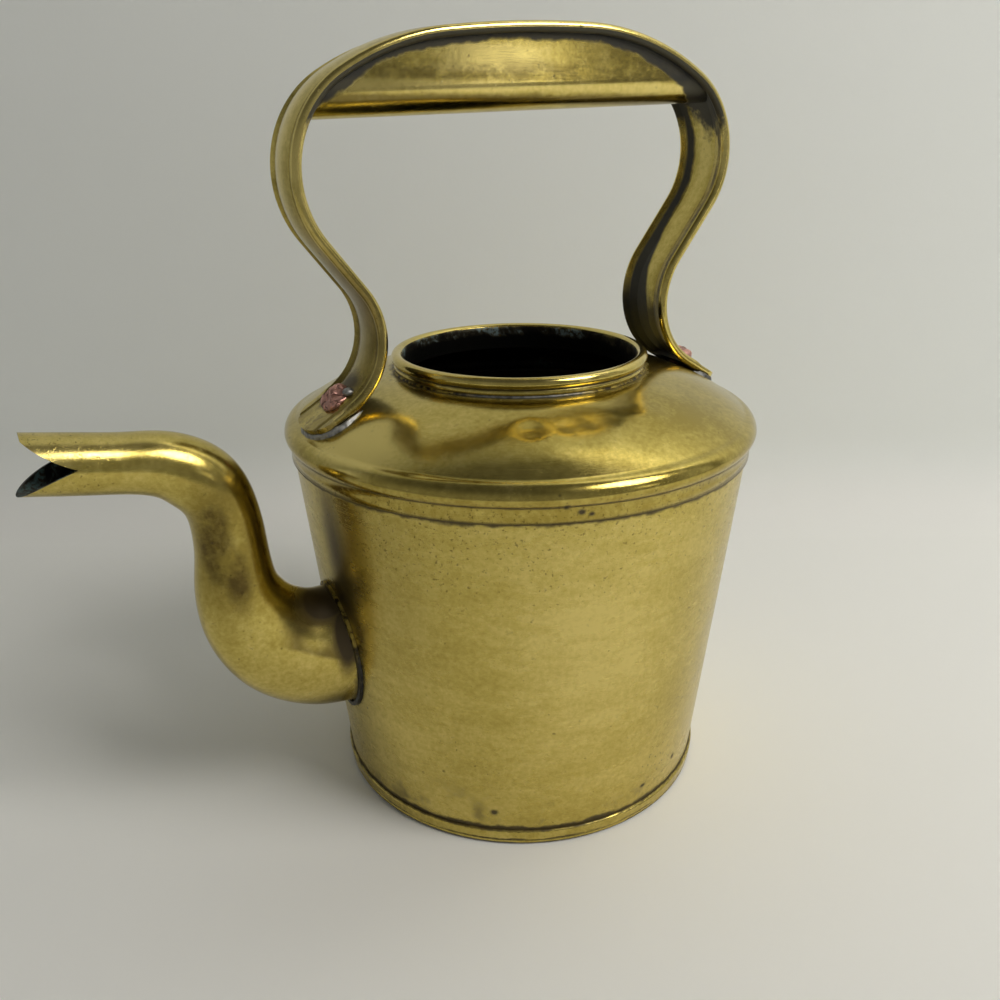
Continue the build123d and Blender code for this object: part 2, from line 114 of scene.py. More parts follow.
class RivetSettings(bpy.types.PropertyGroup):
    """Copper rivets through the handle's feet."""

    radius: bpy.props.FloatProperty(
        name="Head radius", description="Radius of a rivet's head",
        min=0.002, max=0.01, default=0.0056, **LENGTH)
    height: bpy.props.FloatProperty(
        name="Head height", description="How far a head stands off the foot",
        min=0.001, max=0.006, default=0.0036, **LENGTH)
    beating: bpy.props.FloatProperty(
        name="Beating", description="Depth of the hammer marks on a head",
        min=0, max=0.003, default=0.0022, **LENGTH)
    copper: bpy.props.FloatVectorProperty(
        name="Copper", description="Colour of the worn copper",
        default=(0.72, 0.39, 0.32), **COLOUR)


class SolderSettings(bpy.types.PropertyGroup):
    """Soft solder round the feet, the neck and the seams."""

    lump: bpy.props.FloatProperty(
        name="Lumps", description="How far the solder's surface wanders",
        min=0, max=0.002, default=0.0007, **LENGTH)
    sunk: bpy.props.FloatProperty(
        name="Sunk", description="How far the foot solder is let into the dome",
        min=0, max=0.002, default=0.0007, **LENGTH)
    blob: bpy.props.FloatVectorProperty(
        name="Blob", description="Where a drop of solder stands beside the front rivet",
        subtype="TRANSLATION", unit="LENGTH", size=3, default=(-0.0653, -0.0010, 0.1537))
    metal: bpy.props.FloatVectorProperty(
        name="Solder", description="Colour of the dull solder",
        default=(0.42, 0.42, 0.40), **COLOUR)


class ShoulderSettings(bpy.types.PropertyGroup):
    """The domed shoulder and its dents."""

    dent_depth: bpy.props.FloatProperty(
        name="Dent depth", description="Depth of the deepest dent in the dome",
        min=0, max=0.002, default=0.0006, **LENGTH)
    turns: bpy.props.IntProperty(
        name="Turns", description="Facets round the dome", min=64, max=512, default=320)


class SpoutSettings(bpy.types.PropertyGroup):
    """The swan-neck spout."""

    wall: bpy.props.FloatProperty(
        name="Wall", description="Thickness of the spout's sheet",
        min=0.0003, max=0.002, default=0.0009, **LENGTH)
    notch: bpy.props.FloatProperty(
        name="Mouth depth", description="How far the fish mouth is cut back",
        min=0.004, max=0.02, default=0.0128, **LENGTH)


class StageSettings(bpy.types.PropertyGroup):
    """Pale floor and backdrop, lamps and camera."""

    floor: bpy.props.FloatVectorProperty(
        name="Floor", description="Colour of the floor",
        default=(0.92, 0.92, 0.89), **COLOUR)
    wall: bpy.props.FloatVectorProperty(
        name="Backdrop", description="Colour of the backdrop",
        default=(0.88, 0.90, 0.87), **COLOUR)
    wall_distance: bpy.props.FloatProperty(
        name="Backdrop distance", description="From the can's axis to the backdrop",
        min=0.1, max=2, default=0.235, **LENGTH)
    table_edge: bpy.props.FloatProperty(
        name="Table edge", description="From the can's axis to the floor's front edge",
        min=0.2, max=4, default=0.50, **LENGTH)
    lens: bpy.props.FloatProperty(
        name="Lens", description="Focal length on a 36 mm sensor, in millimetres",
        min=10, max=200, default=32.61)
    side_power: bpy.props.FloatProperty(
        name="Side lamp", description="Power of the lamp to the right",
        subtype="POWER", min=0, max=100, default=9.0)
    top_power: bpy.props.FloatProperty(
        name="Top lamp", description="Power of the lamp overhead",
        subtype="POWER", min=0, max=100, default=1.7)
    low_power: bpy.props.FloatProperty(
        name="Low lamp", description="Power of the small lamp at the grip's height",
        subtype="POWER", min=0, max=10, default=0.09)
    sky: bpy.props.FloatProperty(
        name="Room light", description="Strength of the even light all round",
        min=0, max=2, default=1.0)


# ---------------------------------------------------------------- materials
class Recipe:
    """Builds one material from small, named steps."""

    def __init__(self, name):
        self.material = bpy.data.materials.new(name)
        self.start(self.material, "Object")

    def start(self, owner, coordinates):
        """Empties the owner's tree of nodes, and reads places in these coordinates."""
        owner.use_nodes = True
        self.tree = owner.node_tree
        self.tree.nodes.clear()
        self.place = self.add("ShaderNodeTexCoord").outputs[coordinates]

    def add(self, kind, sockets=None, **settings):
        """Adds a node, sets its choices, and links or fills its sockets."""
        node = self.tree.nodes.new(kind)
        for key, value in settings.items():
            setattr(node, key, value)
        for key, value in (sockets or {}).items():
            if isinstance(value, bpy.types.NodeSocket):
                self.tree.links.new(value, node.inputs[key])
            else:
                node.inputs[key].default_value = value
        return node

    def calc(self, operation, first, second=0.0, third=0.0, clamp=False):
        """One step of arithmetic."""
        node = self.add("ShaderNodeMath", {0: first, 1: second, 2: third}, operation=operation)
        node.use_clamp = clamp
        return node.outputs[0]

    def part(self, value, share):
        """This share of a mask or a height."""
        return self.calc("MULTIPLY", value, share)

    def ragged(self, value, cloud, reach):
        """The value, pushed up and down by the cloud, over reach in all."""
        return self.calc("MULTIPLY_ADD", cloud, reach, self.calc("SUBTRACT", value, reach / 2))

    def band(self, value, low, high):
        """0 at low, 1 at high, eased between; it falls if low is over high."""
        swapped = low > high
        sockets = {"Value": value, "From Min": min(low, high), "From Max": max(low, high)}
        sockets.update({"To Min": 1.0 if swapped else 0.0, "To Max": 0.0 if swapped else 1.0})
        return self.add("ShaderNodeMapRange", sockets, interpolation_type="SMOOTHSTEP").outputs["Result"]

    def near(self, value, centre, reach):
        """1 at centre, falling to 0 at reach either side."""
        off = self.calc("ABSOLUTE", self.calc("SUBTRACT", value, centre))
        return self.band(off, reach, 0.0)

    def both(self, *masks):
        """Where all these masks are."""
        result = masks[0]
        for mask in masks[1:]:
            result = self.calc("MULTIPLY", result, mask)
        return result

    def either(self, *masks):
        """Where any of these masks is."""
        result = masks[0]
        for mask in masks[1:]:
            result = self.calc("MAXIMUM", result, mask)
        return result

    def turned(self, angle=(0.0, 0.0, 0.0), scale=(1.0, 1.0, 1.0), shift=(0.0, 0.0, 0.0)):
        """Object coordinates moved, turned and stretched."""
        sockets = {"Vector": self.place, "Location": shift, "Rotation": angle, "Scale": scale}
        return self.add("ShaderNodeMapping", sockets).outputs["Vector"]

    def split(self, vector=None):
        """The three parts of a vector."""
        return self.add("ShaderNodeSeparateXYZ", {0: vector or self.place}).outputs

    def cloud(self, scale, detail=3.0, rough=0.55, vector=None, warp=0.0):
        """Soft noise, about 1 / scale metres from light to dark."""
        sockets = {"Vector": vector or self.place, "Scale": scale, "Detail": detail}
        sockets.update({"Roughness": rough, "Distortion": warp})
        return self.add("ShaderNodeTexNoise", sockets).outputs["Fac"]

    def spots(self, scale, radius, share):
        """Round spots, in this share of the cells."""
        cell = self.add("ShaderNodeTexVoronoi", {"Vector": self.place, "Scale": scale, "Randomness": 1.0})
        chance = self.add("ShaderNodeSeparateColor", {0: cell.outputs["Color"]}).outputs[0]
        round_spot = self.band(cell.outputs["Distance"], radius, radius * 0.55)
        return self.both(round_spot, self.calc("LESS_THAN", chance, share))

    def patch(self, centre, reach):
        """1 at a place, falling to 0 at reach, which has a number for each axis."""
        shift = tuple(-c / d for c, d in zip(centre, reach))
        moved = self.turned(scale=tuple(1.0 / d for d in reach), shift=shift)
        away = self.add("ShaderNodeVectorMath", {0: moved}, operation="LENGTH").outputs["Value"]
        return self.band(away, 1.0, 0.0)

    def stain(self, centre, reach, share=1.0):
        """A patch with a torn, cloudy edge."""
        torn = self.calc("MULTIPLY_ADD", self.cloud(130.0, 5.0, 0.70), 1.6, -0.8)
        ragged = self.calc("ADD", self.patch(centre, [d * 1.3 for d in reach]), torn)
        inside = self.patch(centre, [d * 1.7 for d in reach])
        return self.calc("MULTIPLY", self.both(self.band(ragged, 0.1, 1.1), inside), share * 1.6, clamp=True)

    def hairlines(self, angle, scale=(22.0, 22.0, 1500.0), width=0.012):
        """Fine scratches that run square to the turned Z."""
        fine = self.cloud(1.0, 2.0, 0.6, self.turned(angle, scale))
        line = self.near(fine, 0.5, width)
        patchy = self.cloud(60.0, 1.0, 0.5, self.turned(shift=(angle[0], angle[1], 0.3)))
        return self.both(line, self.band(patchy, 0.48, 0.62))

    def crevice(self, distance):
        """1 deep in a corner, 0 in the open."""
        node = self.add("ShaderNodeAmbientOcclusion", {"Distance": distance}, samples=8)
        return self.calc("SUBTRACT", 1.0, node.outputs["AO"])

    def faces_in(self, centre):
        """1 where the surface faces this point."""
        normal = self.add("ShaderNodeNewGeometry").outputs["Normal"]
        away = self.add("ShaderNodeVectorMath", {0: self.place, 1: tuple(centre)}, operation="SUBTRACT")
        facing = self.add("ShaderNodeVectorMath", {0: normal, 1: away.outputs[0]}, operation="DOT_PRODUCT")
        return self.calc("LESS_THAN", facing.outputs["Value"], 0.0)

    def ramp(self, value, stops):
        """Colours along a value."""
        node = self.add("ShaderNodeValToRGB", {0: value})
        for number, (position, colour) in enumerate(stops):
            if number < 2:
                stop = node.color_ramp.elements[number]
                stop.position = position
            else:
                stop = node.color_ramp.elements.new(position)
            stop.color = (*colour, 1.0)
        return node.outputs["Color"]

    def blend(self, share, under, over):
        """The over colour on the under colour, by share."""
        node = self.add("ShaderNodeMix", data_type="RGBA")
        for number, value in ((0, share), (6, under), (7, over)):
            if isinstance(value, bpy.types.NodeSocket):
                self.tree.links.new(value, node.inputs[number])
            else:
                node.inputs[number].default_value = (*value, 1.0) if number else value
        return node.outputs[2]

    def finish(self, colour, roughness, metal, height):
        """Ends in a Principled shader with a bump whose height is in metres."""
        bump = self.add("ShaderNodeBump", {"Height": height, "Distance": 1.0, "Strength": 1.0})
        sockets = {"Base Color": colour, "Roughness": roughness, "Metallic": metal}
        sockets["Normal"] = bump.outputs["Normal"]
        shader = self.add("ShaderNodeBsdfPrincipled", sockets)
        self.add("ShaderNodeOutputMaterial", {"Surface": shader.outputs[0]})
        return self.material


def worn_brass(name, grime_and_shade=None, patina_and_shadow=None, wear_and_highlight=None, pits=None, green=None, dulled=None, smoke_and_reflection_mask=None,
               gloss=0.0, mottle=0.8, flat=1.0, wave=1.0, corner=0.0016):
    """Old brass.

    Each mask, grime_and_shade to smoke_and_reflection_mask, is a function that takes the recipe and returns
    where it lies, from 0 to 1.
    Besides dirt, wear and tarnish, some parts paint shade, shadows, highlights and reflections through these
    masks.
    gloss takes this much off the roughness, mottle is how strongly the tones vary, flat draws the mottling
    out level, wave scales the waviness and corner is how far the darkening creeps out of the corners.
    """
    tones = bpy.context.scene.can_brass
    r = Recipe(name)
    slow = r.cloud(26.0, 4.0, 0.6, warp=0.4, vector=r.turned(scale=(1.0, 1.0, flat)))
    quick = r.cloud(120.0, 4.0, 0.62, vector=r.turned(scale=(1.0, 1.0, flat)))
    fine = r.cloud(900.0, 3.0, 0.6)
    grain = r.cloud(560.0, 3.0, 0.7)
    tone = r.calc("MULTIPLY_ADD", quick, 0.28, r.part(slow, 0.32))
    tone = r.calc("MULTIPLY_ADD", grain, 0.40, tone)
    tone = r.calc("MULTIPLY_ADD", tone, mottle, 0.5 * (1.0 - mottle))
    # Lighter where worn, and painted highlights and reflections where the part asks for them.
    if wear_and_highlight:
        tone = r.calc("MULTIPLY_ADD", wear_and_highlight(r), 0.12, tone)
    if dulled:
        tone = r.calc("MULTIPLY_ADD", dulled(r), -0.10, tone)
    colour = r.ramp(tone, [(0.38, tones.deep), (0.63, tones.light), (0.50, tones.middle)])
    # Fine dark pits, thick where the part asks for them.
    thick = pits(r) if pits else 0.25
    pit_level = r.calc("MULTIPLY_ADD", thick, -0.115, 0.72)
    pit = r.calc("MULTIPLY", r.calc("SUBTRACT", fine, pit_level), 14.0, clamp=True)
    speck = r.either(pit, r.both(r.spots(210.0, 0.17, 0.12), r.band(quick, 0.45, 0.6)))
    colour = r.blend(r.part(speck, 0.55), colour, tones.grime_and_shade)
    # Smoked brass, and painted dark reflections where the part asks for them.
    if smoke_and_reflection_mask:
        colour = r.blend(r.part(smoke_and_reflection_mask(r), 0.92), colour, tones.smoke_and_dark_reflection)
    # Darker deep in corners, where ambient occlusion finds them, and where the part's mask of grime and
    # painted shade lies.
    ragged = r.calc("MULTIPLY_ADD", r.cloud(420.0, 4.0, 0.65), 1.3, -0.65)
    cloudy = r.calc("MULTIPLY_ADD", quick, 0.8, -0.4)
    deep = r.band(r.calc("ADD", r.crevice(corner), r.calc("ADD", ragged, cloudy)), 0.22, 0.62)
    dirt_and_shade = r.either(deep, grime_and_shade(r)) if grime_and_shade else deep
    colour = r.blend(r.part(dirt_and_shade, 0.9), colour, tones.grime_and_shade)
    dull = dirt_and_shade
    # Patina; on the grip it also paints the strap's shadow.
    if patina_and_shadow:
        skin = patina_and_shadow(r)
        colour = r.blend(r.part(skin, 0.94), colour, tones.patina_and_shadow)
        dull = r.either(dull, skin)
    if green:
        crust = green(r)
        colour = r.blend(crust, colour, tones.verdigris)
        dull = r.either(dull, crust)
    metal = r.calc("MULTIPLY_ADD", dull, -0.72, 1.0)
    lines = r.either(*(r.hairlines(angle) for angle in ((0.3, 0.2, 0.0), (1.1, -0.5, 0.4), (-0.6, 0.9, 0.8))))
    rough = r.calc("MULTIPLY_ADD", quick, 0.16 * mottle, tones.roughness + 0.03 - 0.08 * mottle - gloss)
    rough = r.calc("MULTIPLY_ADD", slow, 0.14, r.calc("SUBTRACT", rough, 0.05))
    rough = r.calc("MULTIPLY_ADD", lines, 0.05, rough)
    rough = r.calc("MULTIPLY_ADD", dull, 0.30, rough)
    height = r.calc("MULTIPLY", r.cloud(19.0, 1.0, 0.4), tones.waviness * 2.0 * wave)
    height = r.calc("MULTIPLY_ADD", r.cloud(75.0, 2.0, 0.4), tones.waviness * 0.28 * wave, height)
    height = r.calc("MULTIPLY_ADD", fine, 0.000012, height)
    height = r.calc("MULTIPLY_ADD", lines, -0.000002, height)
    height = r.calc("MULTIPLY_ADD", speck, -0.00003, height)
    height = r.calc("MULTIPLY_ADD", dull, 0.00003, height)
    return r.finish(colour, rough, metal, height)


def dark_inside(name):
    """The can's inside: black-brown tarnish with streaks of verdigris."""
    tones = bpy.context.scene.can_brass
    r = Recipe(name)
    slow = r.cloud(45.0, 5.0, 0.65, warp=0.6)
    fine = r.cloud(520.0, 4.0, 0.65)
    black, brown, between = (0.006, 0.005, 0.004), (0.11, 0.075, 0.03), (0.03, 0.022, 0.013)
    colour = r.ramp(slow, [(0.40, black), (0.75, brown), (0.56, between)])
    z = r.split()[2]
    crust = r.both(r.band(slow, 0.54, 0.66), r.band(fine, 0.44, 0.6), r.band(z, 0.120, 0.150))
    colour = r.blend(r.part(crust, 0.85), colour, tones.verdigris)
    rough = r.calc("MULTIPLY_ADD", fine, 0.3, 0.42)
    metal = r.calc("MULTIPLY_ADD", crust, -0.5, 0.5)
    height = r.part(fine, 0.00012)
    return r.finish(colour, rough, metal, height)


def neck_inside_finish(name):
    """Inside of the neck: brass near the lip, then grey-green crust, and painted shade, near black, further
    down.
    """
    tones = bpy.context.scene.can_brass
    r = Recipe(name)
    _, y, z = r.split()
    slow = r.cloud(80.0, 5.0, 0.68, warp=0.5)
    fine = r.cloud(600.0, 4.0, 0.65)
    wander = r.ragged(z, slow, 0.006)
    below = r.band(wander, 0.1572, 0.1556)
    colour = r.ramp(slow, [(0.42, (0.012, 0.010, 0.008)), (0.7, (0.10, 0.085, 0.045))])
    # Painted shade: near black further down inside the neck.
    colour = r.blend(below, colour, (0.003, 0.003, 0.002))
    lip = r.band(wander, 0.1588, 0.1606)
    colour = r.blend(lip, colour, tones.deep)
    crust = r.both(r.band(slow, 0.47, 0.58), r.band(fine, 0.42, 0.55), r.band(wander, 0.1560, 0.1575))
    crust = r.both(crust, r.band(y, 0.0, 0.02))
    colour = r.blend(r.part(crust, 0.8), colour, (0.16, 0.23, 0.24))
    rough = r.calc("MULTIPLY_ADD", fine, 0.3, 0.46)
    metal = r.calc("MULTIPLY_ADD", crust, -0.5, 0.9)
    height = r.part(fine, 0.00008)
    return r.finish(colour, rough, metal, height)


def soft_solder(name, dark=0.0, shown=None):
    """Dull grey solder; where shown is 0 it's covered by grime and brass."""
    solder = bpy.context.scene.can_solder
    tones = bpy.context.scene.can_brass
    r = Recipe(name)
    lump = r.cloud(420.0, 4.0, 0.6)
    broad = r.cloud(90.0, 3.0, 0.6)
    metal_tone = tuple(c * (1.0 - dark) for c in solder.metal)
    shade = tuple(c * 0.35 for c in metal_tone)
    colour = r.ramp(lump, [(0.32, shade), (0.58, metal_tone)])
    stain = r.band(broad, 0.52, 0.68)
    colour = r.blend(r.part(stain, 0.6), colour, (0.16, 0.13, 0.09))
    if shown:
        cover = r.calc("SUBTRACT", 1.0, shown(r))
        colour = r.blend(cover, colour, r.blend(r.band(lump, 0.4, 0.6), tones.grime_and_shade, tones.deep))
    deep = r.band(r.calc("MULTIPLY_ADD", lump, 0.5, r.calc("SUBTRACT", r.crevice(0.0012), 0.25)), 0.45, 0.75)
    colour = r.blend(r.part(deep, 0.85), colour, tones.grime_and_shade)
    rough = r.calc("MULTIPLY_ADD", lump, 0.35, 0.28)
    metal = r.calc("MULTIPLY_ADD", stain, -0.35, 0.85)
    height = r.calc("MULTIPLY_ADD", broad, 0.0004, r.part(lump, 0.00016))
    return r.finish(colour, rough, metal, height)


def worn_copper(name):
    """Pink, beaten copper with dirt in the hammer marks."""
    rivets = bpy.context.scene.can_rivets
    r = Recipe(name)
    broad = r.cloud(330.0, 4.0, 0.6)
    fine = r.cloud(1500.0, 3.0, 0.6)
    dull = tuple(c * 0.6 for c in rivets.copper)
    pink = tuple(min(1.0, c * 1.25 + 0.05) for c in rivets.copper)
    colour = r.ramp(broad, [(0.38, dull), (0.66, pink), (0.52, tuple(rivets.copper))])
    deep = r.band(r.calc("MULTIPLY_ADD", broad, 0.6, r.calc("SUBTRACT", r.crevice(0.0014), 0.3)), 0.46, 0.76)
    fold = r.near(r.cloud(150.0, 2.0, 0.5, warp=1.0), 0.5, 0.035)
    deep = r.either(deep, fold)
    colour = r.blend(r.part(deep, 0.85), colour, (0.075, 0.024, 0.014))
    rough = r.calc("MULTIPLY_ADD", broad, 0.3, 0.26)
    metal = r.calc("MULTIPLY_ADD", deep, -0.6, 0.92)
    height = r.calc("MULTIPLY_ADD", fine, 0.00002, r.part(broad, 0.00024))
    height = r.calc("MULTIPLY_ADD", fold, -0.00030, height)
    return r.finish(colour, rough, metal, height)


def dark_iron(name):
    """The wire inside the rolled lip."""
    r = Recipe(name)
    broad = r.cloud(200.0, 4.0, 0.6)
    colour = r.ramp(broad, [(0.35, (0.03, 0.022, 0.018)), (0.7, (0.14, 0.08, 0.05))])
    rough = r.calc("MULTIPLY_ADD", broad, 0.4, 0.4)
    return r.finish(colour, rough, r.calc("MULTIPLY", broad, 1.2, clamp=True), r.part(broad, 0.0001))


# ---------------------------------------------------------------- modelling
def pick_none():
    """Leaves edit mode with nothing selected."""
    if bpy.context.object and bpy.context.object.mode == "EDIT":
        bpy.ops.object.mode_set(mode="OBJECT")
    bpy.ops.object.select_all(action="DESELECT")


def work_on(obj):
    """Selects only this object and makes it the active one."""
    pick_none()
    obj.select_set(True)
    bpy.context.view_layer.objects.active = obj


@contextmanager
def edit_mode(first=None):
    """Edit mode for the steps inside; first can SELECT or DESELECT all of the mesh."""
    bpy.ops.object.mode_set(mode="EDIT")
    if first:
        bpy.ops.mesh.select_all(action=first)
    yield
    bpy.ops.object.mode_set(mode="OBJECT")


def choose(obj, kind, numbers):
    """Selects only these vertices, edges or polygons of the active piece, for the next steps in edit mode."""
    bpy.ops.object.mode_set(mode="EDIT")
    bpy.ops.mesh.select_all(action="DESELECT")
    bpy.ops.object.mode_set(mode="OBJECT")
    items = getattr(obj.data, kind)
    for number in numbers:
        items[number].select = True


def settle(obj):
    """Puts the piece's place in its mesh, turns its faces out and lets it ride on the can."""
    work_on(obj)
    bpy.ops.object.transform_apply(location=True, rotation=True, scale=True)
    with edit_mode("SELECT"):
        bpy.ops.mesh.normals_make_consistent(inside=False)
    bpy.ops.object.shade_smooth()
    pick_none()
    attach(obj, "root")


def smooth_but_creases(obj, angle=40.0):
    """Smooth shading, with edges sharper than this many degrees left crisp."""
    work_on(obj)
    bpy.ops.object.shade_smooth_by_angle(angle=math.radians(angle))
    pick_none()


def apply_modifiers(obj):
    """Applies the piece's modifiers in order."""
    work_on(obj)
    for modifier in list(obj.modifiers):
        bpy.ops.object.modifier_apply(modifier=modifier.name)


def dress(obj, *materials):
    """Gives the piece these materials, the first all over."""
    obj.data.materials.clear()
    for material in materials:
        obj.data.materials.append(material)


def dress_sides(obj, outer, inner, is_inner):
    """Gives a CAD node one finish outside and another on the faces that is_inner picks."""
    dress(obj, outer, inner)
    for face in obj.data.polygons:
        face.material_index = 1 if is_inner(face.center, face.normal) else 0


def arc(start, middle, end, count):
    """Points along the arc through three (radius, height) points, the last left out."""
    ax, ay, bx, by, cx, cy = *start, *middle, *end
    scale = 2 * (ax * (by - cy) + bx * (cy - ay) + cx * (ay - by))
    sq_a, sq_b, sq_c = ax * ax + ay * ay, bx * bx + by * by, cx * cx + cy * cy
    ox = (sq_a * (by - cy) + sq_b * (cy - ay) + sq_c * (ay - by)) / scale
    oy = (sq_a * (cx - bx) + sq_b * (ax - cx) + sq_c * (bx - ax)) / scale
    radius = math.hypot(ax - ox, ay - oy)
    first, last = math.atan2(ay - oy, ax - ox), math.atan2(cy - oy, cx - ox)
    turn = (last - first + math.pi) % (2 * math.pi) - math.pi
    angles = [first + turn * step / count for step in range(count)]
    return [(ox + radius * math.cos(a), oy + radius * math.sin(a)) for a in angles]


def spun(name, profile, turns):
    """A closed (radius, height) outline spun round the can's axis."""
    pick_none()
    bpy.ops.mesh.primitive_circle_add(vertices=len(profile), radius=0.01)
    obj = bpy.context.object
    obj.name = name
    for vertex, (radius, height) in zip(obj.data.vertices, profile):
        vertex.co = (radius, 0.0, height)
    with edit_mode("SELECT"):
        bpy.ops.mesh.spin(steps=turns, angle=2 * math.pi, center=(0, 0, 0), axis=(0, 0, 1))
        bpy.ops.mesh.select_all(action="SELECT")
        bpy.ops.mesh.remove_doubles(threshold=MERGE)
    return obj


# ---------------------------------------------------------------- operators
class CAN_OT_barrel(bpy.types.Operator):
    """Finishes the tapered barrel and the base plate folded round its foot"""

    bl_idname = "can.barrel"
    bl_label = "Barrel and base"

    def execute(self, context):
        outer, inner = barrel_finish("barrel brass"), dark_inside("barrel inside")
        dress_sides(NODES["barrel"], outer, inner, faces_axis)
        dress(NODES["base_plate"], base_finish("base brass"))
        return {"FINISHED"}


def faces_axis(centre, normal):
    """Whether a face is turned to the can's axis."""
    return normal.dot(Vector((centre.x, centre.y, 0))) < 0


def barrel_finish(name):
    """The barrel's brass: dirt at both ends, clouds of pits, a painted dark reflection of the spout beside it
    and painted highlights over the front.
    """
    def stained_and_shaded(r):
        """Grime in the foot's seam, under the skirt, in streaks and in a few smudges, and a painted dark
        reflection of the spout beside its root.
        """
        z = r.split()[2]
        ragged = r.ragged(z, r.cloud(150.0, 4.0, 0.65), 0.0040)
        seam = r.band(ragged, 0.0081, 0.0066)
        under_skirt = r.part(r.band(ragged, 0.1256, 0.1270), 0.9)
        streak = r.both(r.band(r.cloud(70.0, 4.0, 0.6), 0.55, 0.7), r.band(z, 0.03, 0.006))
        smudges = (
            r.stain((-0.0439, -0.0548, 0.0136), (0.0022, 0.0022, 0.0020), 0.8),
            r.stain((0.0262, -0.0654, 0.0163), (0.0020, 0.0020, 0.0024), 0.7),
            r.stain((0.0093, -0.0697, 0.0130), (0.0022, 0.0020, 0.0014), 0.7),
            r.stain((0.0480, 0.0500, 0.0180), (0.006, 0.006, 0.004), 0.5),
        )
        # Painted dark reflection of the spout on the barrel beside its root.
        spout_reflection = r.part(r.patch((-0.0776, -0.0125, 0.1040), (0.020, 0.0095, 0.040)), 0.25)
        return r.either(seam, under_skirt, r.part(streak, 0.7), spout_reflection, *smudges)

    def pitted(r):
        """Pits, thick towards the shoulder and in clouds."""
        z = r.split()[2]
        rising = r.band(r.calc("MULTIPLY_ADD", r.cloud(24.0, 3.0, 0.6), 0.09, z), 0.115, 0.175)
        return r.either(rising, r.band(r.cloud(38.0, 4.0, 0.6), 0.5, 0.66))

    def shaded(r):
        """Painted dark reflection of the spout beside its root, darkest in the corner by the root, and a
        faint painted shade further round the front.
        """
        return r.either(
            r.part(r.patch((-0.0770, -0.0125, 0.1050), (0.020, 0.0115, 0.042)), 0.95),
            r.patch((-0.0765, -0.0100, 0.0850), (0.015, 0.0130, 0.016)),
            r.part(r.patch((-0.0720, -0.0370, 0.1000), (0.030, 0.026, 0.070)), 0.25))

    def bright(r):
        """Painted reflection of the bright floor over the front, and a painted highlight in a stripe beside
        the spout.
        """
        return r.either(r.patch((-0.0170, -0.0750, 0.0780), (0.044, 0.040, 0.085)),
                        r.patch((-0.0745, -0.0205, 0.0950), (0.020, 0.0050, 0.050)))

    return worn_brass(name, grime_and_shade=stained_and_shaded, pits=pitted, wear_and_highlight=bright, smoke_and_reflection_mask=shaded,
                      gloss=-0.03, mottle=0.62, flat=2.4)


def base_finish(name):
    """The base's brass, with a dirty seam where it's folded round the barrel and a painted shadow along its
    foot.
    """
    def seam_dirt_and_foot_shadow(r):
        """Dirt in the fold's groove and along its upper edge, and a painted shadow along the bottom edge."""
        z = r.split()[2]
        ragged = r.ragged(z, r.cloud(160.0, 4.0, 0.65), 0.0016)
        groove = r.near(ragged, 0.0022, 0.0007)
        broken = r.band(r.cloud(55.0, 3.0, 0.6), 0.42, 0.55)
        # The last band, along the bottom edge, is a painted shadow.
        return r.either(r.both(groove, broken), r.band(ragged, 0.0052, 0.006), r.band(z, 0.0012, 0.0))

    return worn_brass(name, grime_and_shade=seam_dirt_and_foot_shadow, corner=0.002)


# Dents in the dome: the place, how far the dent reaches and its share of the deepest one.
SHOULDER_DENTS = (
    ((-0.012, -0.057, 0.151), 0.014, 1.0), ((0.010, -0.060, 0.150), 0.010, -0.55),
    ((-0.045, -0.040, 0.150), 0.016, 0.6), ((0.040, -0.048, 0.149), 0.018, 0.5),
    ((0.060, 0.020, 0.148), 0.016, 0.5), ((0.020, 0.062, 0.149), 0.020, 0.6),
    ((-0.040, 0.052, 0.148), 0.014, -0.4), ((-0.010, -0.072, 0.144), 0.020, -0.35),
    # The knocks in front of the neck, the crease that trails from them, and one dent behind.
    ((-0.0288, -0.0550, 0.1493), 0.0066, 1.00), ((-0.0185, -0.0580, 0.1495), 0.0050, 0.40),
    ((-0.0110, -0.0590, 0.1500), 0.0050, 0.22), ((-0.0040, -0.0600, 0.1500), 0.0050, 0.18),
    ((0.0057, -0.0518, 0.1525), 0.0110, 0.25), ((0.0520, 0.0330, 0.1480), 0.0080, 0.60),
)


class CAN_OT_shoulder(bpy.types.Operator):
    """Spins the domed shoulder with its rolled bead and skirt, and dents it"""

    bl_idname = "can.shoulder"
    bl_label = "Shoulder"

    def execute(self, context):
        settings = context.scene.can_shoulder
        dome = spun("shoulder_dome", shoulder_side(0.0) + shoulder_side(SHEET)[::-1], settings.turns)
        for place, reach, share in SHOULDER_DENTS:
            press(dome, Vector(place), reach, settings.dent_depth * share)
        settle(dome)
        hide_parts("shoulder")

        outer, inner = shoulder_finish("shoulder brass"), dark_inside("shoulder inside")
        dress_sides(dome, outer, inner, faces_middle)
        return {"FINISHED"}


def faces_middle(centre, normal):
    """Whether a face is turned to the middle of the can."""
    return normal.dot(centre - AXIS_POINT) < 0


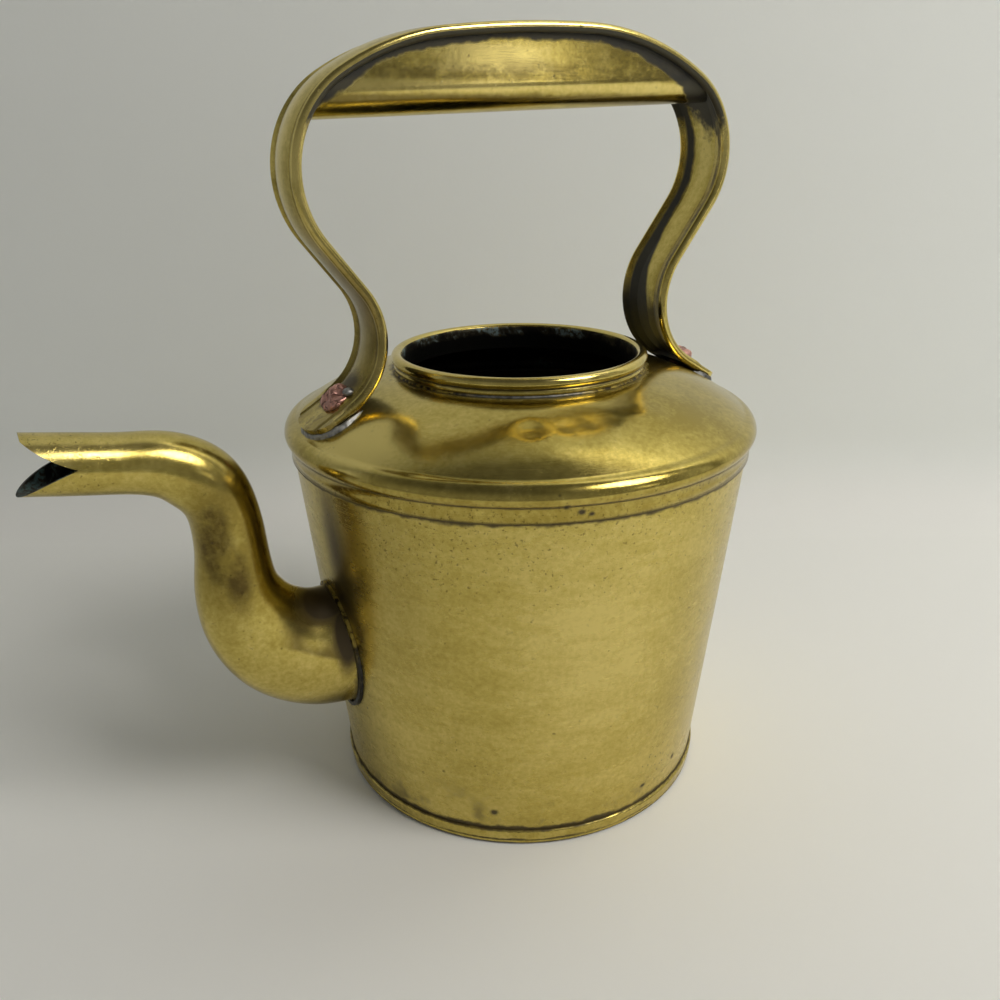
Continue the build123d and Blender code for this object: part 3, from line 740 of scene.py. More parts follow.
def shoulder_finish(name):
    """The shoulder's brass: dirt in its creases, a dull side, a bright one and a faint painted dark
    reflection at the front.
    """
    def settled(r):
        """Grime in the bead's creases, round the neck and in a few dots."""
        z = r.split()[2]
        flat = r.turned(scale=(1.0, 1.0, 0.0))
        radius = r.add("ShaderNodeVectorMath", {0: flat}, operation="LENGTH").outputs["Value"]
        crease = r.near(r.calc("MULTIPLY_ADD", r.cloud(140.0, 4.0, 0.65), 0.0010, z), 0.1331, 0.0007)
        foot_line = r.band(z, 0.1281, 0.1272)
        collar = r.band(r.calc("MULTIPLY_ADD", r.cloud(170.0, 4.0, 0.65), 0.006, radius), 0.0498, 0.0474)
        dots = (
            r.stain((-0.0310, -0.0766, 0.1327), (0.0020, 0.0020, 0.0016), 0.9),
            r.stain((-0.0265, -0.0777, 0.1306), (0.0018, 0.0018, 0.0013), 0.8),
            r.stain((-0.0236, -0.0786, 0.1297), (0.0014, 0.0016, 0.0011), 0.8),
        )
        return r.either(r.part(crease, 0.8), foot_line, r.part(collar, 0.75), *dots)

    def spotted(r):
        """Pits on the bead and the skirt."""
        return r.band(r.split()[2], 0.139, 0.134)

    def band_dull(r):
        """Dull by the bead and over one side of the front."""
        right = r.patch((0.0260, -0.0580, 0.1480), (0.0420, 0.0360, 0.0160))
        return r.either(r.part(r.band(r.split()[2], 0.1405, 0.1345), 0.8), right)

    def darkened_places(r):
        """A faint painted dark reflection of the dim room overhead, at the front, towards the spout."""
        return r.part(r.patch((-0.0430, -0.0600, 0.1435), (0.0300, 0.0240, 0.0120)), 0.25)

    def clean(r):
        """Rubbed bright above the spout."""
        return r.part(r.patch((-0.0720, -0.0240, 0.1425), (0.0240, 0.0260, 0.0140)), 1.8)

    return worn_brass(name, grime_and_shade=settled, pits=spotted, wear_and_highlight=clean, dulled=band_dull,
                      smoke_and_reflection_mask=darkened_places, gloss=0.055)


def shoulder_side(skin):
    """Points up one side of the shoulder's sheet, moved in by skin: skirt, rolled bead and dome."""
    low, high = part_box("shoulder")
    rim, foot = high.x, low.z
    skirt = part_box("barrel")[1].x + SHEET - skin
    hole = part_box("neck_collar")[1].x - 0.0031
    edge, reach, steps = math.radians(35.2), 0.083, 44
    crown = (rim - 0.004 - reach * math.sin(edge), foot + 0.0126 - reach * math.cos(edge))
    widest = (rim - skin, foot + 0.0081)
    brow = (rim - 0.004 - skin * math.sin(edge), foot + 0.0126 - skin * math.cos(edge))
    below = (rim - 0.00055 - 0.84 / 0.9 * skin, foot + 0.00635 + 0.3 * skin)
    above = (rim - 0.00105 - 0.77 / 0.9 * skin, foot + 0.01085 - 0.48 / 0.9 * skin)
    points = [(skirt, foot), (skirt, foot + 0.0026)]
    points += arc((skirt, foot + 0.0052), below, widest, 8)
    points += arc(widest, above, brow, 10)
    radius = reach - skin
    last = math.asin((hole - crown[0]) / radius)
    angles = [edge + (last - edge) * step / steps for step in range(steps + 1)]
    points += [(crown[0] + radius * math.sin(a), crown[1] + radius * math.cos(a)) for a in angles]
    return points


# Drags what lies round the selection along, less and less with distance.
EASED = {
    "use_proportional_edit": True,
    "proportional_edit_falloff": "SMOOTH",
    "use_proportional_connected": False,
}


def press(obj, place, reach, depth):
    """Presses the surface in at a place, easing out to reach; a negative depth raises it."""
    inward = (AXIS_POINT - place).normalized() * depth
    work_on(obj)
    nearest = min(obj.data.vertices, key=lambda vertex: (vertex.co - place).length).index
    choose(obj, "vertices", [nearest])
    with edit_mode():
        bpy.ops.transform.translate(value=inward, proportional_size=reach, **EASED)


class CAN_OT_neck(bpy.types.Operator):
    """Finishes the neck, the wire in its rolled lip and the solder at its foot"""

    bl_idname = "can.neck"
    bl_label = "Neck"

    def execute(self, context):
        outer, inner = neck_finish("neck brass"), neck_inside_finish("neck inside")
        dress_sides(NODES["neck_collar"], outer, inner, in_neck)
        dress(NODES["neck_wire"], dark_iron("lip wire"))
        dress(NODES["neck_solder"], neck_solder_finish("neck solder"))
        return {"FINISHED"}


def in_neck(centre, normal):
    """Whether a face is inside the neck, below the rolled lip."""
    lip_height, lip_radius = 0.16, 0.0416
    flat = Vector((centre.x, centre.y, 0))
    return centre.z < lip_height and normal.dot(flat) < 0 and flat.length < lip_radius


def neck_finish(name):
    """The neck's brass: smooth, darker under the lip and lighter on it."""
    def under_roll(r):
        """Darker under the rolled lip, and dirt at the neck's foot."""
        z = r.split()[2]
        ragged = r.ragged(z, r.cloud(150.0, 4.0, 0.65), 0.0016)
        return r.either(r.near(ragged, 0.1566, 0.0008), r.band(ragged, 0.1552, 0.1544))

    def lighter_lip(r):
        """The top of the lip, lighter."""
        return r.band(r.split()[2], 0.1585, 0.1602)

    return worn_brass(name, grime_and_shade=under_roll, wear_and_highlight=lighter_lip, gloss=0.09, wave=0.25, corner=0.002)


def neck_solder_finish(name):
    """The solder at the neck's foot, mostly covered by grime and brass."""
    def bare(r):
        """Where the solder shows, at the front on the side of the spout."""
        x, y, _ = r.split()
        wander = r.calc("MULTIPLY_ADD", r.cloud(65.0, 3.0, 0.6), 0.05, x)
        return r.both(r.band(wander, 0.032, 0.008), r.band(y, -0.02, -0.032))

    return soft_solder(name, dark=0.38, shown=bare)


class CAN_OT_spout(bpy.types.Operator):
    """Finishes the swan-neck spout, its fish-mouth tip and the solder at its root"""

    bl_idname = "can.spout"
    bl_label = "Spout"

    def execute(self, context):
        spout = swan_neck("swan_neck", context.scene.can_spout)
        settle(spout)
        smooth_but_creases(spout)
        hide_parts("spout")
        line = spout_line()

        def is_inner(centre, normal):
            nearest = min(line, key=lambda point: (point - centre).length)
            return normal.dot(centre - nearest) < 0

        outer, inner = spout_finish("spout brass"), spout_bore("spout inside")
        dress_sides(spout, outer, inner, is_inner)
        dress(NODES["spout_solder"], root_solder_finish("root solder"))
        return {"FINISHED"}


def spout_finish(name):
    """The spout's brass: brown stains up the riser, painted dark reflections in the crook and round the
    riser, a painted highlight along the run, and verdigris under the tip.
    """
    def crook(r):
        """Painted dark reflection of the barrel in the crook over the root, where the spout nears the barrel.
        """
        wide = r.either(
            r.patch((-0.0818, -0.0060, 0.0838), (0.0145, 0.0120, 0.0105)),
            r.patch((-0.0772, -0.0118, 0.0718), (0.0062, 0.0085, 0.0185)))
        return r.calc("MULTIPLY", wide, 1.9, clamp=True)

    def stained_and_shaded(r):
        """Grime at the root, and the crook's painted dark reflection."""
        wander = r.calc("MULTIPLY_ADD", r.cloud(130.0, 4.0, 0.65), 0.008, r.split()[0])
        root = r.band(wander, -0.0715, -0.0685)
        return r.either(r.part(root, 0.8), r.part(crook(r), 0.80))

    def root_side(r):
        """Painted dark reflection over the upper side of the root, left out in one place where a highlight
        falls.
        """
        x, y, z = r.split()
        fall = r.calc("MULTIPLY_ADD", r.cloud(130.0, 3.0, 0.6), 0.0016, z)
        fall = r.calc("MULTIPLY_ADD", x, 0.55, fall)
        side = r.both(r.band(fall, 0.0200, 0.0222), r.band(x, -0.1015, -0.0925),
                      r.band(z, 0.0930, 0.0860), r.band(y, 0.002, -0.004))
        # Where the painted dark reflection is left out, because a highlight falls there.
        worn = r.patch((-0.0868, -0.0125, 0.0740), (0.0085, 0.0070, 0.0065))
        return r.calc("MULTIPLY", side, r.calc("MULTIPLY_ADD", worn, -0.8, 0.82))

    def stains_and_dark_reflections(r):
        """Brown stains up the riser, and painted dark reflections round its bends, by the barrel, over the
        root and in the crook.
        """
        def soft(centre, reach, share):
            return r.calc("MULTIPLY", r.patch(centre, reach), share, clamp=True)

        cloudy = r.calc("MULTIPLY_ADD", r.band(r.cloud(120.0, 5.0, 0.7), 0.30, 0.62), 0.6, 0.4)
        stains = r.either(
            soft((-0.1150, -0.0092, 0.1150), (0.0095, 0.014, 0.0250), 1.6),
            soft((-0.1100, -0.0114, 0.1025), (0.0085, 0.014, 0.0190), 1.2),
            soft((-0.1060, 0.0100, 0.1050), (0.0120, 0.012, 0.0240), 0.8),
            soft((-0.0840, -0.0060, 0.0450), (0.0200, 0.012, 0.0080), 0.7))
        # The cloudy patches are stains; the ones below, with the crook and the root's side, are painted dark
        # reflections.
        return r.either(
            r.calc("MULTIPLY", stains, cloudy),
            soft((-0.1020, -0.0060, 0.1160), (0.0140, 0.016, 0.042), 0.6),
            soft((-0.1110, -0.0085, 0.1290), (0.0160, 0.016, 0.020), 0.55),
            soft((-0.1140, -0.0070, 0.1040), (0.0140, 0.016, 0.032), 0.45),
            soft((-0.0793, -0.0058, 0.0838), (0.0120, 0.015, 0.012), 1.0),
            crook(r), root_side(r))

    def darkened_places(r):
        """Dull up the riser and in its hollow."""
        x, _, z = r.split()
        riser = r.both(r.band(z, 0.080, 0.100), r.band(z, 0.146, 0.128), r.band(x, -0.128, -0.112))
        hollow = r.patch((-0.0990, -0.0070, 0.1120), (0.009, 0.012, 0.030))
        return r.either(riser, hollow)

    def spot_and_run_highlight(r):
        """Lighter in a spot on the riser, and a painted highlight along the top of the run to the tip."""
        x, _, z = r.split()
        run = r.both(r.band(x, -0.112, -0.130), r.band(z, 0.1440, 0.1500))
        return r.either(r.patch((-0.1094, -0.0109, 0.1149), (0.0045, 0.006, 0.006)), r.part(run, 0.7))

    def spotted(r):
        """Pits all over, thick near the tip."""
        return r.either(r.band(r.split()[0], -0.12, -0.15), 0.35)

    def tip_green(r):
        """Verdigris under the tip."""
        x, _, z = r.split()
        tip = r.band(x, -0.1555, -0.161)
        return r.both(tip, r.band(r.cloud(260.0, 4.0, 0.65), 0.54, 0.66), r.band(z, 0.1395, 0.1365))

    return worn_brass(name, grime_and_shade=stained_and_shaded, pits=spotted, green=tip_green, dulled=darkened_places,
                      wear_and_highlight=spot_and_run_highlight, smoke_and_reflection_mask=stains_and_dark_reflections, gloss=0.03, wave=0.8)


def root_solder_finish(name):
    """The solder round the spout's root, nearly black."""
    def bare(r):
        """Where the solder shows, low on the root."""
        z = r.split()[2]
        return r.band(r.calc("MULTIPLY_ADD", r.cloud(110.0, 4.0, 0.6), 0.02, z), 0.085, 0.072)

    return soft_solder(name, dark=0.88, shown=bare)


# Sections across the spout from inside the barrel to the tip, in metres and degrees:
# middle x and z, tilt of the long half, its length and the half width.
SPOUT_SECTIONS = (
    (-0.0648, 0.0623, -90.0, 0.0246, 0.0144), (-0.0733, 0.0632, -88.7, 0.0235, 0.0141),
    (-0.0847, 0.0633, -95.4, 0.0229, 0.0136), (-0.0961, 0.0695, -118.3, 0.0206, 0.0136),
    (-0.1036, 0.0781, -136.8, 0.0177, 0.0131), (-0.1079, 0.0881, -155.0, 0.0154, 0.0125),
    (-0.1088, 0.0979, -179.5, 0.0131, 0.0118), (-0.1083, 0.1080, -174.1, 0.0115, 0.0112),
    (-0.1085, 0.1177, -182.8, 0.0113, 0.0110), (-0.1108, 0.1289, -153.6, 0.0116, 0.0110),
    (-0.1172, 0.1361, -133.0, 0.0118, 0.0111), (-0.1254, 0.1408, -106.7, 0.0103, 0.0101),
    (-0.1353, 0.1423, -97.3, 0.0091, 0.0093), (-0.1472, 0.1443, -100.1, 0.0093, 0.0095),
    (-0.1608, 0.1467, -99.4, 0.0091, 0.0095), (-0.1700, 0.1483, -99.5, 0.0090, 0.0095),
)


def swan_neck(name, settings):
    """The spout: a ring drawn out through its sections, smoothed, thickened and cut to a fish's mouth."""
    ring = 24
    pick_none()
    x, z, tilt, tall, wide = SPOUT_SECTIONS[0]
    bpy.ops.mesh.primitive_circle_add(vertices=ring, radius=1.0)
    obj = bpy.context.object
    obj.name = name
    with edit_mode("SELECT"):
        bpy.ops.transform.resize(value=(tall, wide, 1.0), center_override=(0, 0, 0))
        bpy.ops.transform.rotate(value=math.radians(tilt), orient_axis="Y", center_override=(0, 0, 0))
        bpy.ops.transform.translate(value=(x, 0, z))
        for section, following in zip(SPOUT_SECTIONS, SPOUT_SECTIONS[1:]):
            middle = (following[0], 0, following[1])
            step = (following[0] - section[0], 0, following[1] - section[1])
            turn = math.radians(following[2] - section[2])
            tall, wide = following[3] / section[3], following[4] / section[4]
            bpy.ops.mesh.extrude_region_move(TRANSFORM_OT_translate={"value": step})
            bpy.ops.transform.rotate(value=turn, orient_axis="Y", center_override=middle)
            bpy.ops.transform.resize(value=(tall, wide, tall), center_override=middle)
    tip = SPOUT_SECTIONS[-1]
    reach = max(abs(vertex.co.z - tip[1]) for vertex in obj.data.vertices[-ring:])
    if abs(reach - tip[3]) > 0.0006:
        raise RuntimeError("the spout's last ring turned away from its place")
    smoothing = obj.modifiers.new("smoothing", "SUBSURF")
    smoothing.levels = smoothing.render_levels = 3
    apply_modifiers(obj)
    # Trim the root along the barrel's cone, just inside its wall.
    side = (math.cos(BARREL_TAPER), 0, math.sin(BARREL_TAPER))
    with edit_mode("SELECT"):
        bpy.ops.mesh.normals_make_consistent(inside=False)
        bpy.ops.mesh.bisect(plane_co=(-0.0744, 0, 0.071), plane_no=side, clear_outer=True)
    wall = obj.modifiers.new("wall", "SOLIDIFY")
    wall.thickness = settings.wall
    wall.offset = -1.0
    wall.use_even_offset = True
    apply_modifiers(obj)
    cutter = mouth_cutter(settings.notch)
    cut = obj.modifiers.new("mouth", "BOOLEAN")
    cut.operation = "DIFFERENCE"
    cut.solver = "EXACT"
    cut.object = cutter
    apply_modifiers(obj)
    bpy.data.objects.remove(cutter)
    return obj


def mouth_cutter(notch):
    """A block whose near face is the two curved lips of the spout's mouth, notch deep."""
    end_x, end_z = -0.1656, 0.14635
    lip = end_x + 0.0043
    chin = (lip - 0.0040, end_z - 0.0082)
    apex = (lip + notch, end_z - 0.0009)
    middle = lip + notch * 0.37
    upper = arc((lip, end_z + 0.0084), (middle, end_z + 0.0040), apex, 10)
    lower = arc(apex, (middle - 0.0008, end_z - 0.0040), chin, 10)
    width, clear = 0.06, 0.02
    outline = [(lip, end_z + clear), *upper, *lower, chin]
    outline += [(lip - clear, end_z - clear), (lip - clear, end_z + clear)]
    pick_none()
    bpy.ops.mesh.primitive_circle_add(vertices=len(outline), radius=0.01, fill_type="NGON")
    cutter = bpy.context.object
    for vertex, (x, z) in zip(cutter.data.vertices, outline):
        vertex.co = (x, -width / 2, z)
    with edit_mode("SELECT"):
        bpy.ops.mesh.extrude_region_move(TRANSFORM_OT_translate={"value": (0, width, 0)})
        bpy.ops.mesh.select_all(action="SELECT")
        bpy.ops.mesh.normals_make_consistent(inside=False)
    return cutter


def spout_line():
    """Points along the middle of the spout, with each stretch between sections cut in six."""
    starts = [Vector((x, 0, z)) for x, z, *_ in SPOUT_SECTIONS]
    return [start.lerp(end, step / 6) for start, end in zip(starts, starts[1:]) for step in range(7)]


def spout_bore(name):
    """Inside of the spout: black, with verdigris near the mouth."""
    tones = bpy.context.scene.can_brass
    r = Recipe(name)
    x = r.split()[0]
    slow = r.cloud(120.0, 5.0, 0.66, warp=0.4)
    fine = r.cloud(700.0, 4.0, 0.65)
    colour = r.ramp(slow, [(0.42, (0.007, 0.007, 0.006)), (0.72, (0.09, 0.065, 0.03))])
    crust = r.both(r.band(x, -0.140, -0.150), r.band(slow, 0.46, 0.6), r.band(fine, 0.4, 0.56))
    colour = r.blend(r.part(crust, 0.85), colour, tones.verdigris)
    rough = r.calc("MULTIPLY_ADD", fine, 0.3, 0.4)
    metal = r.calc("MULTIPLY_ADD", crust, -0.5, 0.6)
    return r.finish(colour, rough, metal, r.part(fine, 0.0001))


class CAN_OT_handle(bpy.types.Operator):
    """Finishes the moulded handle strap and the hollow grip under its arch"""

    bl_idname = "can.handle"
    bl_label = "Handle"

    def execute(self, context):
        dress(NODES["handle_strap"], strap_finish("strap brass"))
        dress(NODES["grip_trough"], grip_finish("grip brass"))
        return {"FINISHED"}


def strap_finish(name):
    """The strap's brass: dirty grooves, rubbed edges and a black skin on the inside."""
    def grooves(r):
        """Dirt along both grooves, by the feet and round the rivets."""
        _, v, z = along(r)
        off = r.calc("ABSOLUTE", v)
        patchy = r.calc("MULTIPLY_ADD", r.cloud(110.0, 4.0, 0.65), 1.4, -0.15)
        line = r.near(off, 0.0089, 0.0017)
        foot = r.both(r.band(z, 0.162, 0.150), r.band(r.cloud(210.0, 5.0, 0.68), 0.50, 0.62))
        round_rivets = r.either(
            r.stain((-0.0640, 0.0036, 0.1555), (0.0080, 0.0095, 0.008), 0.75),
            r.stain((0.0665, -0.0037, 0.1540), (0.0080, 0.0095, 0.008), 0.75))
        return r.part(r.either(r.both(line, patchy), r.part(foot, 0.5), round_rivets), 0.9)

    def olive(r):
        """Dull on the lower legs, most of all down the middle."""
        _, v, z = along(r)
        middle = r.band(r.calc("ABSOLUTE", v), 0.0100, 0.0075)
        return r.both(r.band(z, 0.228, 0.205), r.calc("MULTIPLY_ADD", middle, 0.5, 0.5))

    def edges(r):
        """The edges, worn bright, and the ridge between the grooves."""
        off = r.calc("ABSOLUTE", along(r)[1])
        return r.either(r.band(off, 0.0104, 0.0118), r.band(off, 0.006, 0.001))

    def under(r):
        """Black skin under the arch and down the inside of the legs."""
        _, v, z = along(r)
        inner = r.faces_in(HANDLE_MIDDLE)
        cloud = r.cloud(85.0, 4.0, 0.66)
        wander = r.calc("MULTIPLY_ADD", cloud, 0.03, z)
        under_arch = r.band(wander, 0.2450, 0.2515)
        low = r.band(wander, 0.196, 0.184)
        # A broad black band runs down the +Y half of each leg and widens to the foot.
        spread = r.calc("MULTIPLY_ADD", cloud, 0.003, v)
        spread = r.calc("MULTIPLY_ADD", r.band(z, 0.205, 0.165), 0.0075, spread)
        off_edge = r.either(r.band(v, 0.0096, 0.0084), r.band(z, 0.185, 0.170))
        far = r.both(r.band(spread, 0.0066, 0.0082), off_edge)
        near = r.part(r.both(r.near(v, -0.0086, 0.0014), r.band(cloud, 0.42, 0.56)), 0.7)
        low = r.both(low, r.band(v, -0.0092, -0.0060))
        return r.both(inner, r.either(under_arch, r.part(low, 0.85), far, near))

    def stains_and_dark_reflections(r):
        """Brown on the outside of the front leg, which also paints the dark reflection there."""
        outer = r.calc("SUBTRACT", 1.0, r.faces_in(HANDLE_MIDDLE))
        low_leg = r.patch((-0.0620, 0.0, 0.1810), (0.030, 0.050, 0.050))
        return r.part(r.both(outer, low_leg), 0.85)

    return worn_brass(name, grime_and_shade=grooves, wear_and_highlight=edges, patina_and_shadow=under, dulled=olive,
                      smoke_and_reflection_mask=stains_and_dark_reflections, gloss=0.05, wave=0.5, corner=0.0022)


def along(r):
    """Three values: how far along the handle, how far across it and how high."""
    return r.split(r.turned((0.0, 0.0, -HANDLE_SWING)))


def arch_curve(r, place):
    """Height of the strap's underside over the grip, as a curve of the place along the handle."""
    turn = Matrix.Rotation(-HANDLE_SWING, 3, "Z")
    spots = [turn @ vertex.co for vertex in NODES["grip_trough"].data.vertices]
    low, high = min(spot.x for spot in spots), max(spot.x for spot in spots)
    base, top, steps = 0.23, 0.265, 10
    window = (high - low) / steps * 0.35
    levels = []
    for step in range(steps + 1):
        centre = low + (high - low) * step / steps
        heights = [spot.z for spot in spots if abs(spot.x - centre) < window]
        levels.append((max(heights) - base) / (top - base))
    share = r.calc("DIVIDE", r.calc("SUBTRACT", place, low), high - low)
    node = r.add("ShaderNodeFloatCurve", {"Value": share})
    points = node.mapping.curves[0].points
    points[0].location = (0.0, levels[0])
    points[1].location = (1.0, levels[-1])
    for step in range(1, steps):
        points.new(step / steps, levels[step])
    node.mapping.update()
    return r.calc("MULTIPLY_ADD", node.outputs[0], top - base, base)


def grip_finish(name):
    """The grip's brass: dark skin along the strap with a ragged edge, partly painted shadow, brown mottling,
    a painted dark reflection low down and painted highlights.
    """
    def skin(r):
        """Dark skin under the strap, deeper towards the ends, with a ragged edge; near the strap it is also
        the strap's painted shadow.
        """
        u, _, z = along(r)
        depth = r.calc("SUBTRACT", arch_curve(r, u), z)
        ragged = r.ragged(depth, r.cloud(150.0, 3.0, 0.55, warp=0.5), 0.0036)
        to_end = r.calc("ABSOLUTE", r.calc("ADD", u, 0.004))
        reach = r.calc("MULTIPLY_ADD", r.band(to_end, 0.018, 0.07), 0.0030, 0.0027)
        reach = r.calc("MULTIPLY_ADD", r.band(u, 0.03, 0.072), 0.0034, reach)
        edge = r.calc("SUBTRACT", ragged, reach)
        spot = r.both(r.spots(95.0, 0.16, 0.16), r.band(z, 0.2415, 0.2435))
        return r.either(r.band(edge, 0.0008, -0.0005), spot)

    def brown(r):
        """Brown mottling on the upper half, and a painted dark reflection in a band near the bottom."""
        u, _, z = along(r)
        cloud = r.cloud(150.0, 5.0, 0.68, vector=r.turned(scale=(0.55, 0.55, 1.0)), warp=0.3)
        ragged = r.ragged(z, cloud, 0.0030)
        mottle = r.both(
            r.band(ragged, 0.2452, 0.2470), r.band(ragged, 0.2530, 0.2485), r.band(cloud, 0.36, 0.60))
        right = r.both(r.band(u, 0.005, 0.040), r.band(ragged, 0.2452, 0.2468), r.band(cloud, 0.30, 0.55))
        # Painted dark reflection along the rounded lower corner.
        lower = r.both(r.band(z, 0.2386, 0.2396), r.band(ragged, 0.2428, 0.2410))
        return r.either(r.part(r.either(mottle, right), 0.6), r.part(lower, 0.78))

    def painted_highlights(r):
        """Painted highlights: a bright band along the lower side and a patch above it."""
        u, _, z = along(r)
        highlight_patch = r.both(r.near(u, -0.014, 0.030), r.band(z, 0.2470, 0.2490), r.band(z, 0.2570, 0.2540))
        return r.either(r.near(z, 0.2440, 0.0028), r.part(highlight_patch, 1.6))

    return worn_brass(name, smoke_and_reflection_mask=brown, patina_and_shadow=skin, wear_and_highlight=painted_highlights, gloss=0.05, wave=0.35, corner=0.001)


class CAN_OT_rivets(bpy.types.Operator):
    """Beats the two copper rivets, with their burrs inside the dome"""

    bl_idname = "can.rivets"
    bl_label = "Rivets"

    def execute(self, context):
        settings = context.scene.can_rivets
        copper = worn_copper("worn copper")
        for side, seed in (("front", 3), ("back", 8)):
            node = NODES[side + "_rivet"]
            swing = HANDLE_SWING + (math.pi if side == "front" else 0.0)
            out = Vector((math.cos(swing), math.sin(swing), 0.0))
            axis = out * math.sin(FOOT_SLOPE) + Vector((0, 0, math.cos(FOOT_SLOPE)))
            spots = [vertex.co for vertex in node.data.vertices]
            crown = max(spot.dot(axis) for spot in spots)
            lowest = min(spot.dot(axis) for spot in spots)
            top_ring = [spot for spot in spots if spot.dot(axis) > crown - 0.0002]
            base = sum(top_ring, Vector()) / len(top_ring) - axis * RIVET_STAND
            reach = base.dot(axis) - lowest
            piece = beaten_rivet(side + "_beaten_rivet", base, axis, reach, seed, settings)
            dress(piece, copper)
            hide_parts(side + "_rivet")
            dress(NODES[side + "_burr"], copper)
        return {"FINISHED"}


def join_to(obj, other):
    """Makes the other piece's mesh a part of this one."""
    work_on(obj)
    other.select_set(True)
    bpy.ops.object.join()


def beaten_rivet(name, base, axis, reach, seed, settings):
    """One rivet: a beaten head that stands on base, a shank down its axis and a spread tail at reach."""
    pick_none()
    bpy.ops.mesh.primitive_uv_sphere_add(segments=48, ring_count=28, radius=settings.radius)
    obj = bpy.context.object
    obj.name = name
    with edit_mode("SELECT"):
        bpy.ops.transform.resize(value=(1.16, 0.94, settings.height / settings.radius * 1.12))
        bpy.ops.mesh.bisect(plane_co=(0, 0, 0), plane_no=(0, 0, 1), use_fill=True, clear_inner=True)
    marks = bpy.data.textures.new(name + " marks", "VORONOI")
    marks.noise_scale = settings.radius * 0.9
    marks.noise_intensity = 1.0
    lumps = bpy.data.textures.new(name + " lumps", "CLOUDS")
    lumps.noise_scale = settings.radius * 0.5
    lumps.noise_depth = 3
    guide = bpy.data.objects.new(name + " guide", None)
    bpy.context.scene.collection.objects.link(guide)
    guide.location = (0.01 * seed, 0.02 * seed, 0.0)
    for texture, strength in ((marks, settings.beating), (lumps, settings.beating * 0.7)):
        modifier = obj.modifiers.new(texture.name, "DISPLACE")
        modifier.texture = texture
        modifier.texture_coords = "OBJECT"
        modifier.texture_coords_object = guide
        modifier.direction = "NORMAL"
        modifier.strength = strength
        modifier.mid_level = 0.55
    apply_modifiers(obj)
    bpy.data.objects.remove(guide)
    # Flatten the underside again.
    for vertex in obj.data.vertices:
        if vertex.co.z < 0.00005:
            vertex.co.z = -0.0003
    join_to(obj, rivet_shank(reach))
    side = Vector((0, 0, 1)).cross(axis).normalized()
    turn = Matrix((side, axis.cross(side), axis)).transposed().to_4x4()
    obj.matrix_world = Matrix.Translation(base) @ turn
    settle(obj)
    return obj


def rivet_shank(reach):
    """A shank that hangs down from the origin to reach, with its end beaten out."""
    tail, step = 0.0012, 0.0001
    pick_none()
    bpy.ops.mesh.primitive_cylinder_add(
        vertices=32, radius=SHANK_RADIUS, depth=reach, location=(0, 0, -reach / 2))
    shank = bpy.context.object
    choose(shank, "polygons", [face.index for face in shank.data.polygons if face.normal.z < -0.9])
    with edit_mode():
        bpy.ops.transform.translate(value=(0, 0, tail))
        for drop, spread in ((step, 1.45), (tail - step, 0.85)):
            bpy.ops.mesh.extrude_region_move(TRANSFORM_OT_translate={"value": (0, 0, -drop)})
            bpy.ops.transform.resize(value=(spread, spread, 1.0), center_override=(0, 0, -reach))
    return shank


class CAN_OT_solder(bpy.types.Operator):
    """Lays lumpy solder round the handle's feet and in the base's corner"""

    bl_idname = "can.solder"
    bl_label = "Solder"

    def execute(self, context):
        settings = context.scene.can_solder
        # The back foot's solder is darkened: painted shade where it sits in shadow under the foot.
        for side, dark in (("front", 0.0), ("back", 0.6)):
            piece = foot_bead(side, settings)
            if side == "front":
                join_to(piece, solder_drop(settings.blob))
            settle(piece)
            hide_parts(side + "_foot_solder")
            dress(piece, soft_solder(side + " foot solder", dark=dark))
        dress(NODES["base_solder"], soft_solder("base solder", dark=0.4))
        return {"FINISHED"}


def foot_bead(side, settings):
    """The bead round one foot: lumpy, thinned at both ends and let into the dome."""
    piece = bpy.data.objects.new(side + "_foot_lumps", NODES[side + "_foot_solder"].data.copy())
    bpy.context.scene.collection.objects.link(piece)
    work_on(piece)
    with edit_mode("SELECT"):
        bpy.ops.mesh.remove_doubles(threshold=MERGE)
    remesh = piece.modifiers.new("grain", "REMESH")
    remesh.mode = "VOXEL"
    remesh.voxel_size = 0.00028
    soften = piece.modifiers.new("soften", "SMOOTH")
    soften.factor = 0.5
    soften.iterations = 4
    lumps = bpy.data.textures.new(side + " lumps", "CLOUDS")
    lumps.noise_scale = 0.0026
    lumps.noise_depth = 2
    wander = piece.modifiers.new("lumps", "DISPLACE")
    wander.texture = lumps
    wander.texture_coords = "LOCAL"
    wander.strength = settings.lump
    wander.mid_level = 0.42
    apply_modifiers(piece)
    for flank in (-1, 1):
        draw_out(piece, flank)
    middle = sum((Vector(corner) for corner in piece.bound_box), Vector()) / 8
    with edit_mode("SELECT"):
        bpy.ops.transform.translate(value=(AXIS_POINT - middle).normalized() * settings.sunk)
    return piece


